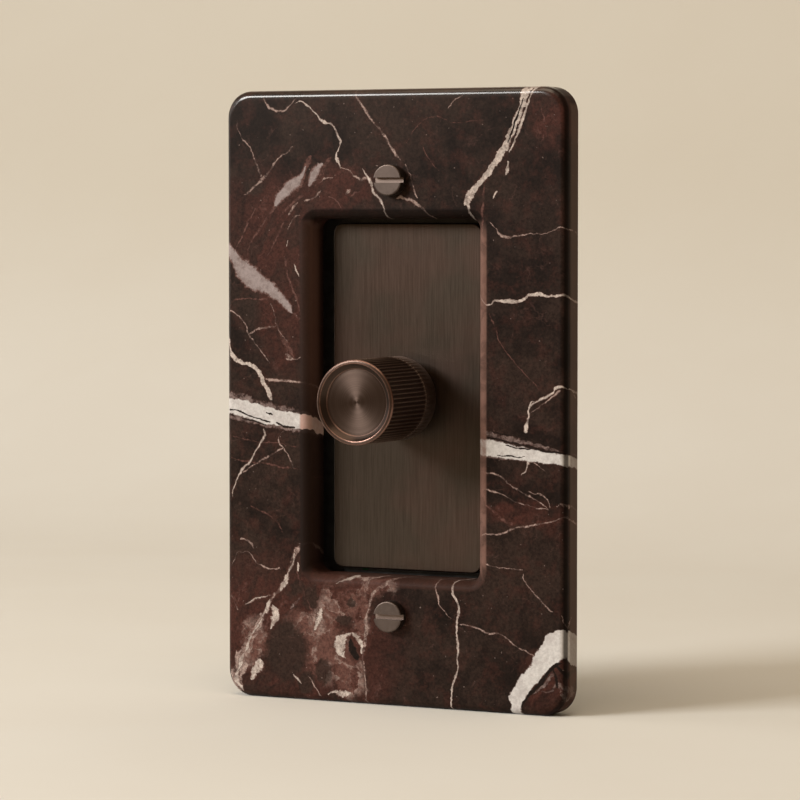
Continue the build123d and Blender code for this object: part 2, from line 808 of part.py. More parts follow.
# Switch base on the board, and the two contacts on it
with BuildPart() as switch_base:
    with BuildSketch(at_depth(board_front)):
        Rectangle(cavity_width - 2 * switch_clearance, cavity_height - 2 * switch_clearance)
    extrude(amount=switch_base_thickness)
save(switch_base, "switch_base")

with BuildPart() as fixed_contacts:
    with BuildSketch(at_depth(switch_base_front)):
        with GridLocations(contact_pitch, 0, 2, 1):
            Rectangle(contact_width, contact_width)
    extrude(amount=fixed_contact_height)
save(fixed_contacts, "fixed_contacts")

# Switch plunger: its nose meets the shaft's tip, and a rivet at its back holds the contact bridge
with BuildPart() as switch_plunger:
    with BuildSketch(at_depth(plunger_front)):
        Circle(tip_diameter / 2)
    extrude(amount=plunger_front - nose_front)
    with BuildSketch(at_depth(plunger_back)):
        Rectangle(plunger_width, plunger_height)
    extrude(amount=plunger_thickness)
    with BuildSketch(at_depth(rivet_back)):
        Circle(rivet_diameter / 2)
    extrude(amount=rivet_back - plunger_back)
save(switch_plunger, "switch_plunger")

# Contact bridge: carried by the plunger, it joins the fixed contacts when the knob is pushed
with BuildPart() as contact_bridge:
    with BuildSketch(at_depth(bridge_back)):
        Rectangle(bridge_length, bridge_height)
        Circle(rivet_diameter / 2 + switch_clearance, mode=Mode.SUBTRACT)
    extrude(amount=bridge_thickness)
    with BuildSketch(at_depth(button_back)):
        with GridLocations(contact_pitch, 0, 2, 1):
            Rectangle(contact_width, contact_width)
    extrude(amount=contact_button)
save(contact_bridge, "contact_bridge")

# Return spring: a leaf folded over, between the plunger's rivet and the switch base
with BuildPart() as return_spring:
    with BuildSketch(Plane.YZ):
        with BuildLine():
            FilletPolyline(
                (switch_base_front, -spring_length / 2),
                (switch_base_front, spring_length / 2),
                (rivet_back, spring_length / 2),
                (rivet_back, -spring_length / 2),
                radius=spring_bend_radius,
            )
            offset(amount=spring_thickness, side=Side.LEFT)
        make_face()
    extrude(amount=spring_width / 2, both=True)
save(return_spring, "return_spring")

# Places of the parts on the circuit board
triac_lead_height = tab_bottom - triac_lead_drop
film_cap_place = (-bay_middle_x, bay_top - bay_margin - film_cap_depth / 2)
fuse_place = (-bay_middle_x, bay_bottom + bay_margin + fuse_depth / 2)
smoothing_place = (bay_middle_x, -bay_middle_z)
choke_place = (-bay_middle_x, -bay_middle_z)
chip_place = ((switch_width / 2 + board_width / 2) / 2, 0)

# Circuit board: notched round the screw bosses
board_notch = boss_diameter + 2 * board_clearance
board_notch_middle = boss_place - board_clearance - boss_diameter / 2 + board_notch / 2
with BuildPart() as circuit_board:
    with BuildSketch(at_depth(board_back)):
        RectangleRounded(board_width, board_height, case_corner_radius - case_wall)
        with GridLocations(0, 2 * board_notch_middle, 1, 2):
            Rectangle(board_notch, board_notch, mode=Mode.SUBTRACT)
    extrude(amount=board_thickness)
save(circuit_board, "circuit_board")

# Triac: its tab on the heat spreader, its leads bent back to the board
triac_lead_front = tab_back + (triac_body_thickness - triac_tab_thickness - triac_lead_thickness) / 2
with BuildPart() as triac:
    with BuildSketch(at_depth(tab_back)):
        with Locations(tab_middle):
            Rectangle(triac_width, triac_tab_length)
        with Locations(triac_screw_middle):
            Circle(triac_screw_diameter / 2 + thread_clearance, mode=Mode.SUBTRACT)
    extrude(amount=triac_tab_thickness)
    with BuildSketch(at_depth(spreader_back + triac_body_thickness)):
        with Locations((bay_middle_x, tab_bottom + triac_body_length / 2)):
            Rectangle(triac_width, triac_body_length)
    extrude(amount=triac_body_thickness)
    with BuildSketch(*[Plane.YZ.offset(bay_middle_x + side * triac_lead_pitch) for side in (-1, 0, 1)]):
        with BuildLine():
            Polyline(
                (triac_lead_front, tab_bottom),
                (triac_lead_front, triac_lead_height),
                (board_front, triac_lead_height),
                (board_front, triac_lead_height + triac_lead_thickness),
                (triac_lead_front + triac_lead_thickness, triac_lead_height + triac_lead_thickness),
                (triac_lead_front + triac_lead_thickness, tab_bottom),
                close=True,
            )
        make_face()
    extrude(amount=triac_lead_width / 2, both=True)
save(triac, "triac")

with BuildPart() as triac_screw:
    with BuildSketch(at_depth(tab_back + triac_head_height)):
        with Locations(triac_screw_middle):
            Circle(triac_head_diameter / 2)
    extrude(amount=triac_head_height)
    with BuildSketch(at_depth(tab_back)):
        with Locations(triac_screw_middle):
            Circle(triac_screw_diameter / 2)
    extrude(amount=triac_tab_thickness + triac_screw_grip)
save(triac_screw, "triac_screw")

# Choke: a ferrite drum on the board, and the wire wound on it
with BuildPart() as choke_core:
    with BuildSketch(at_depth(board_front)):
        with Locations(choke_place):
            Circle(choke_diameter / 2)
    extrude(amount=choke_flange)
    with BuildSketch(at_depth(board_front - choke_height + choke_flange)):
        with Locations(choke_place):
            Circle(choke_diameter / 2)
    extrude(amount=choke_flange)
    with BuildSketch(at_depth(board_front)):
        with Locations(choke_place):
            Circle(choke_hub_diameter / 2)
    extrude(amount=choke_height)
save(choke_core, "choke_core")

with BuildPart() as choke_winding:
    with BuildSketch(at_depth(board_front - choke_flange)):
        with Locations(choke_place):
            Circle(choke_diameter / 2 - winding_inset)
            Circle(choke_hub_diameter / 2, mode=Mode.SUBTRACT)
    extrude(amount=choke_height - 2 * choke_flange)
save(choke_winding, "choke_winding")

# Film capacitor, smoothing capacitor and fuse on the board
with BuildPart() as film_capacitor:
    with BuildSketch(at_depth(board_front)):
        with Locations(film_cap_place):
            RectangleRounded(film_cap_width, film_cap_depth, film_cap_round)
    extrude(amount=film_cap_height)
save(film_capacitor, "film_capacitor")

with BuildPart() as smoothing_capacitor:
    with BuildSketch(at_depth(board_front)):
        with Locations(smoothing_place):
            Circle(smoothing_diameter / 2)
    extrude(amount=smoothing_height)
    chamfer(smoothing_capacitor.edges().group_by(Axis.Y)[0], smoothing_chamfer)
save(smoothing_capacitor, "smoothing_capacitor")

with BuildPart() as board_fuse:
    with BuildSketch(at_depth(board_front)):
        with Locations(fuse_place):
            Rectangle(fuse_width, fuse_depth)
    extrude(amount=fuse_height)
save(board_fuse, "board_fuse")

# Control chip with its rows of feet
with BuildPart() as control_chip:
    with BuildSketch(at_depth(board_front)):
        with Locations(chip_place):
            Rectangle(chip_width, chip_length)
    extrude(amount=chip_height)
    with BuildSketch(at_depth(board_front)):
        with Locations(chip_place):
            with GridLocations(chip_width + chip_lead_reach, chip_lead_pitch, 2, 4):
                Rectangle(chip_lead_reach, chip_lead_width)
    extrude(amount=chip_lead_height)
save(control_chip, "control_chip")

# Terminal plates: on the left side of the case, each with a tail through the wall and over the board
tail_end = -board_width / 2 + terminal_tail_reach
with BuildPart() as terminal_plates:
    with BuildSketch(Plane.YZ.offset(case_left)):
        with Locations((terminal_middle, 0)):
            with GridLocations(0, terminal_spacing, 1, 2):
                Rectangle(terminal_length, terminal_width)
                Circle(terminal_screw_diameter / 2 + thread_clearance, mode=Mode.SUBTRACT)
    extrude(amount=-terminal_thickness)
    with BuildSketch(at_depth(board_front)):
        with Locations(((case_left + tail_end) / 2, 0)):
            with GridLocations(0, terminal_spacing, 1, 2):
                Rectangle(tail_end - case_left, terminal_tail_width)
    extrude(amount=terminal_thickness)
save(terminal_plates, "terminal_plates")

with BuildPart() as terminal_screws:
    with BuildSketch(Plane.YZ.offset(case_left - terminal_thickness)):
        with Locations((terminal_middle, 0)):
            with GridLocations(0, terminal_spacing, 1, 2):
                Circle(terminal_head_diameter / 2)
    extrude(amount=-terminal_head_height)
    with BuildSketch(Plane.YZ.offset(case_left - terminal_thickness - terminal_head_height)):
        with Locations((terminal_middle, 0)):
            with GridLocations(0, terminal_spacing, 1, 2):
                Rectangle(slot_width, terminal_head_diameter + 2 * slot_overrun)
    extrude(amount=slot_depth, mode=Mode.SUBTRACT)
    with BuildSketch(Plane.YZ.offset(case_left - terminal_thickness)):
        with Locations((terminal_middle, 0)):
            with GridLocations(0, terminal_spacing, 1, 2):
                Circle(terminal_screw_diameter / 2)
    extrude(amount=terminal_thickness + case_wall + terminal_screw_inside)
save(terminal_screws, "terminal_screws")
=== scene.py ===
import functools
import json
import math

import bmesh
import bpy
from bpy.props import FloatProperty, FloatVectorProperty, IntProperty, PointerProperty
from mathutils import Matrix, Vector

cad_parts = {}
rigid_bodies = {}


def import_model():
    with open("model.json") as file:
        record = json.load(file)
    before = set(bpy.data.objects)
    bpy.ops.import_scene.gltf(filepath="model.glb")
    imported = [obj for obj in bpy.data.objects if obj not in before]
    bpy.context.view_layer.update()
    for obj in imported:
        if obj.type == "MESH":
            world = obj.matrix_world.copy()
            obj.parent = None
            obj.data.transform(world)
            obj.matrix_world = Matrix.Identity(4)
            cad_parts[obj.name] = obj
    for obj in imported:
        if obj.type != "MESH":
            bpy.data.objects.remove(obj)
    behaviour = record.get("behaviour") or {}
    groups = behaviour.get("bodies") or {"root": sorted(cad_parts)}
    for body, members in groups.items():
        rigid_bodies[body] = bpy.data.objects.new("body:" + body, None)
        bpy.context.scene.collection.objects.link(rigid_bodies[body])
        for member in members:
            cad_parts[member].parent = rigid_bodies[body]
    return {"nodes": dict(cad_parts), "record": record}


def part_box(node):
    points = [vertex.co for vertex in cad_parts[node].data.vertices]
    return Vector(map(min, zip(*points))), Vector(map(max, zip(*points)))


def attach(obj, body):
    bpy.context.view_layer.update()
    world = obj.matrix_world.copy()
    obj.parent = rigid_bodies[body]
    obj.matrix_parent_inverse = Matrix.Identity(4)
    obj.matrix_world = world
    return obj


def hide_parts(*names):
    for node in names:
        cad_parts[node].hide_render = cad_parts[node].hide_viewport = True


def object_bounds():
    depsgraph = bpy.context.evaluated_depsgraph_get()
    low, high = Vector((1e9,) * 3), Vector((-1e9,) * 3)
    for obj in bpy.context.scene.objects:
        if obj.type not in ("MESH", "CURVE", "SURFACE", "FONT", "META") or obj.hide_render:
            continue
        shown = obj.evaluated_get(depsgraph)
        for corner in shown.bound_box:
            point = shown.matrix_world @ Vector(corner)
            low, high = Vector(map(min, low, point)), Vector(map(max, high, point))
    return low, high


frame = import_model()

bl_info = {
    "name": "Stone Dimmer Switch",
    "version": (1, 0, 0),
    "blender": (4, 5, 0),
    "location": "3D View > Sidebar > Dimmer",
    "description": "Dresses a packed wall dimmer switch in veined marble and aged bronze",
    "category": "Object",
}

MM = 0.001
CAD_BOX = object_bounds()
# Turns what is made lying down so that it faces the room
FACING = (math.pi / 2, 0, 0)


def box_sizes(node):
    """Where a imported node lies: its lowest corner, its highest corner and its size."""
    low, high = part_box(node)
    return low, high, high - low


PLATE_LOW, PLATE_HIGH, PLATE_SIZE = box_sizes("cover_plate")
INSERT_LOW, INSERT_HIGH, INSERT_SIZE = box_sizes("insert_plate")
KNOB_LOW, KNOB_HIGH, KNOB_SIZE = box_sizes("knob")
SCREW_LOW, SCREW_HIGH, SCREW_SIZE = box_sizes("cover_screws")
SCREW_PITCH = SCREW_SIZE.z - SCREW_SIZE.x

# Plate: its screw holes, and the recesses for the strap's ears
SCREW_HOLE = 4.4 * MM
POCKET_START = 36.4 * MM
POCKET_GAP = 0.8 * MM
# Insert: its front edge, its hole for the bushing and the two tabs behind it
INSERT_CHAMFER = 0.3 * MM
BUSHING_HOLE = 8.3 * MM
TAB_SIZE = Vector((4, 2, 1.4)) * MM
TAB_PLACE = 17 * MM
# Knob: where things start and end is counted from its rim, and a flute has so many points across it
FLUTE_START = 0.5 * MM
FLUTE_END = 14.3 * MM
FLUTE_STEPS = 8
HOLLOW_RADIUS = 6.65 * MM
HOLLOW_DEPTH = 5 * MM
BORE_RADIUS = 3.05 * MM
BORE_END = 4.3 * MM
# Screws
SHANK_RADIUS = 1.95 * MM
THREAD_ROOT = 1.42 * MM
THREAD_PITCH = 0.8 * MM
TIP_RADIUS = 1.25 * MM

# Outlines of turned pieces, in millimetres. The dish: out from its floor, back from the rim.
# The lip and the screw's crown: in from the outside, back from the front. The heel: in from the
# outside, forward from the back. A ridge of the thread: out from the axis, on from where it starts.
KNOB_DISH = [(-0.25, 1.05), (0, 1.05), (0.08, 0.9), (0.2, 0.84)]
KNOB_LIP = [
    (0.86, 0.2), (0.78, 0.08), (0.68, 0.01), (0.6, 0), (0.38, 0), (0.2, 0.05), (0.06, 0.18), (0, 0.36),
]
KNOB_HEEL = [(0, 0.35), (0.1, 0.1), (0.35, 0)]
SCREW_CROWN = [(0.3, 0), (0.12, 0.04), (0.03, 0.13), (0, 0.28)]
THREAD_RIDGE = [(1.42, 0.12), (1.75, 0.42), (1.75, 0.5)]

# Paper backdrop, in metres: flat under the switch and behind it, then a sweep up to its rise
PAPER_WIDTH = 6.0
PAPER_NEAR = 0.38
PAPER_MIDDLE = 0.01
PAPER_FAR = 0.5
PAPER_RISE = 2.4
PAPER_SWEEP = 0.45
# Lamps: degrees to the left of the switch and above it, distance, width and height in metres, watts, colour
LAMPS = {
    "key": (38, 24, 1.2, 0.5, 0.36, 13.0, (1.0, 0.985, 0.955)),
    "side": (80, 15, 1.2, 0.6, 0.7, 3.0, (1.0, 0.985, 0.955)),
    "top wash": (0, 72, 1.3, 1.2, 0.9, 8.5, (1.0, 0.83, 0.63)),
}

# Veins of the stone, in millimetres on the plate's face: x, z and width at each point, by tone.
# Each vein keeps going forward along the line from its first point to its last.
VEINS = {
    "rust": [
        [(20.8, 43.4, 0.5), (19.6, 41, 0.6), (19.2, 38, 0.9), (19, 32, 0.9)],
        [(-35.4, 17.2, 0.5), (-33.8, 18.6, 0.6), (-31.4, 18.8, 0.5), (-28.6, 18.6, 0.6), (-26.2, 18.6, 0.8)],
        [(-35.4, -12.3, 0.4), (-31.8, -12.9, 0.5), (-27.5, -13.3, 0.5), (-23.5, -13.9, 0.6),
         (-20.8, -14.2, 0.6), (-18.6, -15.2, 0.5), (-15.6, -17.4, 0.4)],
        [(-35, -8, 0.3), (-31.8, -8.6, 0.3), (-28.6, -9.2, 0.3), (-24.7, -9.2, 0.3), (-20.7, -9.8, 0.3)],
        [(-31, -21.6, 0.4), (-28, -22.8, 0.5), (-26, -23.8, 0.5), (-23.6, -26.6, 0.3)],
        [(20.2, 18, 0.4), (20.9, 15.6, 0.5), (22, 13.3, 0.4), (23.3, 10.5, 0.4), (25.6, 7.7, 0.3),
         (28.3, 4.9, 0.3), (31, 2.4, 0.2)],
        [(3, 48.6, 0.3), (5.6, 52, 0.4), (8, 53.4, 0.4), (11, 53, 0.4), (14, 52.3, 0.3), (19.4, 52.8, 0.3)],
        [(6.4, 48.4, 0.3), (8, 45.6, 0.4), (10, 43.4, 0.3)],
        [(31.4, 55, 0.6), (31.8, 51, 0.6), (31, 47.8, 0.5)],
        [(19.4, -17.4, 1.2), (20.6, -20, 1.2), (22.6, -21.8, 1), (25.6, -23.2, 1)],
        [(-34.4, -36, 0.4), (-33.4, -38.6, 0.5), (-34.6, -42, 0.3)],
        [(-20.6, -33.8, 0.6), (-19.8, -36.6, 0.7), (-18.4, -39.8, 0.5), (-16, -42.4, 0.4)],
        [(-34.6, 27.4, 0.3), (-33, 30.6, 0.6), (-31.4, 33.6, 0.6), (-29.6, 36.4, 0.3)],
        [(-31.6, 27.4, 0.3), (-30, 31, 0.7), (-27.4, 34.4, 0.7), (-25.4, 37, 0.4)],
        [(-27, 27, 0.3), (-25, 30.6, 0.6), (-23.6, 33.6, 0.5)],
        [(-23.4, 27.1, 0.5), (-23, 25.4, 0.7), (-22.5, 22.7, 0.7), (-21.5, 20.3, 0.8), (-20.3, 17.9, 0.6),
         (-19.9, 15.4, 0.6)],
        [(-13.7, 38.6, 0.3), (-12, 37.8, 0.5), (-10.6, 35.8, 0.3)],
        [(-9.2, 37.8, 0.3), (-8.3, 39, 0.5), (-6.4, 39.7, 0.3)],
        [(-20.4, 39.6, 0.8), (-19.5, 42.4, 1.6), (-18.5, 44.8, 1.5), (-17.4, 46.6, 0.6)],
        [(-16.6, 40.6, 0.6), (-15.2, 43, 1.3), (-13.8, 45.2, 1), (-13, 46.2, 0.3)],
        [(-27.4, 34, 0.5), (-25.8, 36, 1.1), (-23.2, 38.6, 1.4), (-21, 40.4, 0.9)],
        [(-24.4, 34.6, 0.4), (-21.6, 37, 1), (-18.6, 39.2, 0.8)],
        [(-23.1, 16.8, 0.9), (-20.7, 15.4, 1), (-19.2, 14.7, 0.7)],
        [(-24.8, 13.3, 0.6), (-23.4, 10.8, 1.3), (-22.4, 8.6, 1.8), (-21.2, 7, 0.7)],
    ],
    "blush": [
        [(-17.6, -27.8, 0.7), (-19.8, -29.2, 1.2), (-21.3, -31.1, 1.3), (-22, -32.9, 1.1),
         (-22.8, -34.9, 1.1), (-23.8, -36.6, 1.5), (-25, -38, 1.1), (-26.3, -39.5, 1), (-27.1, -41.2, 1.3),
         (-28.2, -43, 1.6), (-29.5, -45.2, 1.7), (-31.2, -47.9, 2.4), (-32.4, -50.5, 3), (-33.2, -52.6, 3.8),
         (-34, -55.3, 3.8), (-34.4, -58.4, 2.6)],
        [(2.4, -32.8, 1), (0.4, -34.1, 1.2), (-1.3, -35.3, 1.4), (-3.1, -36.9, 1.2), (-4.3, -38.2, 1.1),
         (-4.9, -40.1, 1), (-5.5, -42.3, 0.9), (-5.4, -44.5, 1.3), (-5.7, -46.8, 1.2), (-6.2, -49, 0.8),
         (-6, -51.2, 0.6), (-5.8, -54, 0.5), (-5.6, -57, 0.6), (-5.7, -60, 0.5)],
        [(-26.2, -38.7, 0.6), (-28, -39.2, 0.9), (-29.8, -39.7, 0.7), (-32.2, -41, 0.3)],
        [(-21.5, 48.3, 0.5), (-22.5, 47.3, 0.6), (-24.2, 46.2, 0.5), (-25.5, 44.9, 0.6), (-26.8, 43.3, 0.7),
         (-28.3, 42, 1), (-29.6, 40.7, 0.6), (-31.1, 39.4, 1), (-32.3, 38.8, 0.4)],
        [(-33.6, 53.4, 0.2), (-33.1, 50.5, 0.3), (-31.3, 48.5, 0.4), (-30.1, 46.5, 0.4), (-29.3, 44.7, 0.7),
         (-28.4, 42.4, 0.7)],
        [(-28, 58.4, 0.5), (-27.6, 57, 0.9), (-26.8, 56, 1), (-24.7, 55.2, 0.7), (-22.4, 56, 0.6),
         (-21, 57.4, 0.4)],
        [(-8, 60, 0.4), (-7.4, 57.6, 0.5), (-5.9, 55.4, 0.8), (-4.2, 52.9, 0.6), (-2, 50.6, 0.7),
         (-0.4, 48.2, 0.8), (1.9, 45.4, 0.5)],
        [(2.8, 44.8, 0.3), (4, 42.4, 0.4), (4.6, 40, 0.5), (5.2, 38.4, 0.3)],
        [(0.6, 38.4, 0.6), (3, 38.2, 0.9), (5.4, 37.2, 0.8), (7.4, 35.6, 0.6), (9.6, 33.6, 0.4)],
        [(-11.2, 44.1, 0.3), (-9.2, 43.5, 0.4), (-8, 42.4, 0.5), (-6.7, 41.9, 0.9), (-5, 41.9, 0.9),
         (-4.2, 41, 0.5)],
        [(-27.6, 3.4, 0.7), (-25.5, 2.9, 0.9), (-23.1, 3, 0.7), (-20.7, 2.7, 0.6), (-18.8, 2.5, 0.7),
         (-16.8, 1.9, 0.9), (-14, 1.8, 0.6)],
        [(-35.6, 16.4, 0.5), (-33.8, 15.6, 0.5), (-32.2, 14.1, 0.5), (-31.6, 12.5, 0.6), (-30.2, 10.4, 0.5),
         (-28.6, 8.7, 0.4), (-26.6, 6.3, 0.3)],
        [(-31.2, 12, 0.4), (-29, 12.9, 0.7), (-26.6, 13.3, 0.8), (-24.8, 13.8, 0.4)],
        [(-26.2, 17.8, 0.5), (-25.4, 15.4, 0.4), (-24.8, 13.3, 0.4), (-23.9, 11.9, 0.4), (-22.8, 10.7, 0.3)],
        [(-23.4, 8.2, 0.6), (-22.7, 7.7, 1.6), (-21.4, 7.2, 0.6), (-19.7, 7.6, 0.3)],
        [(20.6, 33.8, 0.3), (22.2, 32.4, 0.5), (23.8, 31, 0.9), (25.5, 30.9, 0.6), (27.8, 31.3, 0.5),
         (30, 31.4, 0.4), (32.2, 31.7, 0.4), (34.4, 32.5, 0.5), (35.8, 32.8, 0.4), (36.8, 31, 0.4),
         (37.5, 28, 0.3)],
        [(29.2, -1.8, 0.3), (31.4, -0.5, 0.4), (33.6, 1.2, 0.5), (35.2, 2.4, 0.6)],
        [(18.6, -13.2, 0.4), (20.4, -13.6, 0.5), (22.5, -14, 0.6), (24.7, -15.6, 0.5), (27.4, -16.9, 0.5),
         (30.1, -18.3, 0.4), (32.8, -19.9, 0.3)],
        [(28.6, -16.8, 0.3), (29.7, -17.2, 0.4), (31.4, -17.2, 0.5), (32.8, -18.4, 0.5), (33.1, -19.6, 0.3)],
        [(18.6, -16.6, 0.7), (20.6, -16.9, 0.6), (22.5, -17.4, 0.4), (24.3, -17.9, 0.3), (27, -19, 0.3),
         (30.1, -19.7, 0.3), (32.8, -19.9, 0.2)],
        [(18.8, -25.2, 0.3), (20.2, -25, 0.4), (23.4, -24.8, 0.5), (26.5, -23.7, 0.7), (30.1, -22.9, 0.7),
         (33.7, -22, 0.5), (36.4, -20.6, 0.6)],
        [(34.4, -19.4, 0.4), (35.6, -18.9, 0.9), (36.4, -20.6, 0.8)],
        [(14.6, -42.4, 0.3), (16.8, -42.8, 0.5), (18.7, -43.4, 0.6), (21.2, -44, 0.6), (23.2, -44.2, 0.5),
         (25.2, -45.3, 0.5), (26.9, -46.3, 0.4), (28.6, -47.1, 0.5), (30.2, -47.8, 0.4)],
        [(19.8, -30.7, 0.4), (22.4, -31.2, 0.3), (24.1, -31.2, 0.4), (27.4, -31.6, 0.3)],
        [(27.5, -32.1, 0.3), (28.7, -34.5, 0.4), (30.3, -36.2, 0.5), (32, -37.8, 0.5), (33.9, -39.1, 0.4)],
        [(35.4, -39.6, 0.3), (36.2, -42.2, 0.3)],
        [(9.6, -32.4, 0.5), (9.3, -34.4, 0.5), (9.4, -36.6, 0.4), (10, -38.4, 0.4), (11.2, -40.1, 0.3),
         (12.7, -41.6, 0.2)],
        [(-32.6, -15.1, 0.4), (-30.7, -13.9, 0.5), (-27.9, -12.4, 0.5), (-25.5, -11, 0.6), (-23.7, -10, 0.4)],
        [(-23.3, -6.9, 0.4), (-24.7, -8.9, 0.4), (-23.5, -10.2, 0.4), (-22.3, -11.9, 0.5),
         (-21.3, -14.2, 0.4)],
        [(-35.2, -33.7, 0.3), (-34.4, -31.9, 0.3), (-33.3, -30.7, 0.3), (-31.8, -30.7, 0.4),
         (-30.3, -32.1, 0.5), (-28.5, -33.4, 0.5), (-26.4, -33.9, 0.4), (-24.2, -33.6, 0.5)],
        [(-33.4, -28, 0.4), (-31.2, -28.6, 0.8), (-30.2, -29.8, 0.5)],
        [(-35.2, -39.3, 0.3), (-33.8, -42.4, 0.3)],
        [(-22.4, 34.9, 0.3), (-21.5, 36.2, 0.8), (-20.3, 37.4, 0.3)],
        [(-22.7, 32.2, 0.3), (-21.5, 34.3, 0.4), (-20, 34.9, 0.6)],
        [(-18.9, 37.7, 0.4), (-16.9, 38.2, 0.7), (-15.2, 39.7, 0.3)],
        [(-15.9, 41.1, 0.3), (-14.2, 42.1, 0.5), (-12.6, 42.2, 0.4)],
        [(-9.9, 38.7, 0.4), (-9.5, 39.3, 0.9), (-8.9, 40, 0.3)],
        [(11.8, 54.8, 0.2), (13.2, 56.4, 0.4), (14.8, 57.6, 0.2)],
        [(29.4, -10.9, 0.4), (31, -12.1, 0.3), (32.4, -12.8, 0.2)],
        [(-18.3, -54.2, 0.3), (-16.8, -55.9, 0.5), (-15.4, -58, 0.3)],
        [(-8, -34.7, 0.8), (-5.8, -34.6, 1.2), (-3.8, -34, 1), (-2.6, -33.5, 0.5)],
    ],
    "ash": [
        [(-38, 0.4, 1.6), (-35.6, -0.2, 2), (-32.6, -0.5, 2.2), (-29.8, -1.4, 2), (-26, -2, 1.8),
         (-21.5, -2.8, 1.6), (-17, -3.9, 1.4), (-13, -5, 1.2)],
        [(-38, -4.2, 1), (-32, -4.9, 1.3), (-27, -5.7, 1.5), (-22, -6.4, 1.3), (-17.6, -6.6, 1.4),
         (-13, -6.4, 1.2)],
        [(17, -5.4, 0.8), (20, -6, 1.8), (25, -7, 2), (30, -8, 1.4), (35, -9, 0.8), (38, -9.8, 0.6)],
        [(17, -10.4, 0.6), (22, -10.7, 0.9), (28, -10.9, 0.9), (33, -10.9, 0.6)],
        [(35.8, -42.6, 1.2), (37, -45, 2.8), (38.2, -48.4, 3), (38.6, -50, 2)],
        [(29.6, -55, 0.5), (31.5, -53.5, 0.9), (33, -51.8, 1.1), (34, -50.2, 0.8)],
        [(31.6, -54.4, 0.4), (33.4, -54.2, 0.9), (34.4, -52.6, 0.6)],
        [(34.8, -52.4, 1.2), (36, -54.2, 2.4), (36.2, -57.4, 2), (36.2, -60, 1.2)],
        [(-20.1, -39.1, 0.5), (-21.4, -40.5, 1.1), (-22.3, -41.4, 0.4)],
    ],
    "bone": [
        [(28.6, 60, 2.6), (26.6, 54, 1.5), (25, 50.5, 1.7), (23.4, 47.4, 1.8), (21, 44, 1.6), (18.4, 41, 1.4),
         (16.4, 38.6, 1.9), (15.2, 36.6, 1.3)],
        [(15.6, 37.6, 1), (16.4, 35.6, 0.9), (16.9, 33, 0.5)],
        [(30.2, 60, 0.9), (28.4, 55.6, 0.7), (27.2, 52.4, 0.8), (26, 49.4, 0.7), (24.6, 46.8, 0.4)],
        [(24.4, 45.2, 0.5), (24.3, 43.8, 1), (24, 42.4, 0.3)],
        [(21.2, 38, 0.3), (21.8, 38.8, 0.7), (22.2, 39.4, 0.3)],
        [(18.4, 20.2, 0.7), (19.6, 18.6, 0.6), (20.4, 18.1, 0.8), (22, 19, 0.9), (25.1, 18.9, 1),
         (27.8, 19.5, 0.9), (30.5, 20.3, 1), (32.7, 20, 0.8), (35.8, 20.2, 0.7), (38, 20.4, 0.4)],
        [(-36.4, 12, 0.9), (-35.6, 10, 0.9), (-35, 7.9, 1), (-33.4, 6.6, 1.1), (-31, 5.9, 1.2),
         (-29, 4.6, 1.2), (-27.8, 2.5, 1.2), (-26.8, 0.8, 1.3), (-26.2, -0.9, 1)],
        [(13.4, -32.4, 0.6), (13.2, -34, 0.7), (12.9, -35.6, 0.8), (13.3, -37.3, 1), (14, -39.3, 0.8),
         (14, -41.7, 0.7), (13.8, -44.4, 0.7), (14, -46.7, 0.7), (14, -50.3, 0.6), (13.3, -52.6, 0.7),
         (12.8, -55.3, 0.6), (12.5, -60, 0.4)],
        [(-28, -6.5, 0.8), (-28.5, -9, 0.7), (-29.8, -10.8, 0.6), (-31, -12.9, 0.7), (-32.6, -14.3, 0.7),
         (-33.9, -16.5, 0.5), (-34.9, -20.2, 0.3)],
        [(28.2, -5.9, 0.9), (28.7, -3.2, 0.7), (28.9, -0.4, 0.5), (30, 0.3, 0.4)],
        [(28.8, -0.6, 0.4), (31.4, 0.7, 0.6), (33.6, 1.8, 0.7), (34.6, 3, 0.9), (36, 2.6, 0.6)],
        [(28.8, -10.4, 0.9), (28.6, -11.6, 0.7), (28.2, -12.7, 0.5), (27.2, -13.7, 0.3)],
        [(-21.2, 56.6, 0.4), (-19.2, 56.6, 0.5), (-17.7, 55.5, 0.6), (-16.2, 54.1, 0.5), (-14.2, 52.6, 0.7),
         (-12.4, 51.6, 0.7), (-11.7, 50.3, 0.7), (-11.2, 49.2, 0.9), (-11.6, 47.7, 0.6), (-11.8, 45.7, 0.8),
         (-11, 43.9, 0.4)],
        [(-6.5, 43.9, 0.3), (-5.3, 42.4, 0.7), (-4.5, 41.1, 0.9), (-3.8, 39.5, 0.8), (-2.5, 38, 0.7),
         (-1.6, 36, 0.6), (-1.2, 34, 0.4)],
        [(-21.2, -30.6, 0.4), (-21.6, -32.6, 0.8), (-22.4, -34.2, 0.5)],
        [(-26.6, -39.6, 0.4), (-27.2, -41.2, 1.1), (-28.2, -43.2, 0.6)],
        [(-28.4, -43.6, 0.4), (-29.4, -45, 0.7), (-30.6, -46.8, 0.5)],
        [(-30.9, -47, 0.4), (-31.6, -48.8, 1), (-32.2, -50.4, 0.5)],
        [(-32.4, -50.6, 0.5), (-33.1, -52.4, 1.3), (-33.6, -54, 0.6)],
        [(-27, -39, 0.3), (-28.6, -39.3, 0.6), (-30.4, -39.8, 0.4), (-32, -40.8, 0.2)],
        [(-20.4, -32.2, 0.3), (-20.3, -33.2, 0.7), (-20.3, -34, 0.2)],
        [(-14, -57.7, 0.3), (-12.4, -56.7, 0.7), (-11, -57, 0.4)],
        [(-12.2, -36, 0.3), (-10.5, -35.2, 0.8), (-8.8, -34.5, 1.1), (-7.6, -34.1, 0.4)],
        [(-21.5, -54.1, 0.3), (-20.6, -54.9, 0.8), (-19.7, -55.8, 0.4)],
        [(-22.9, 28.8, 0.2), (-22.5, 30.1, 0.5)],
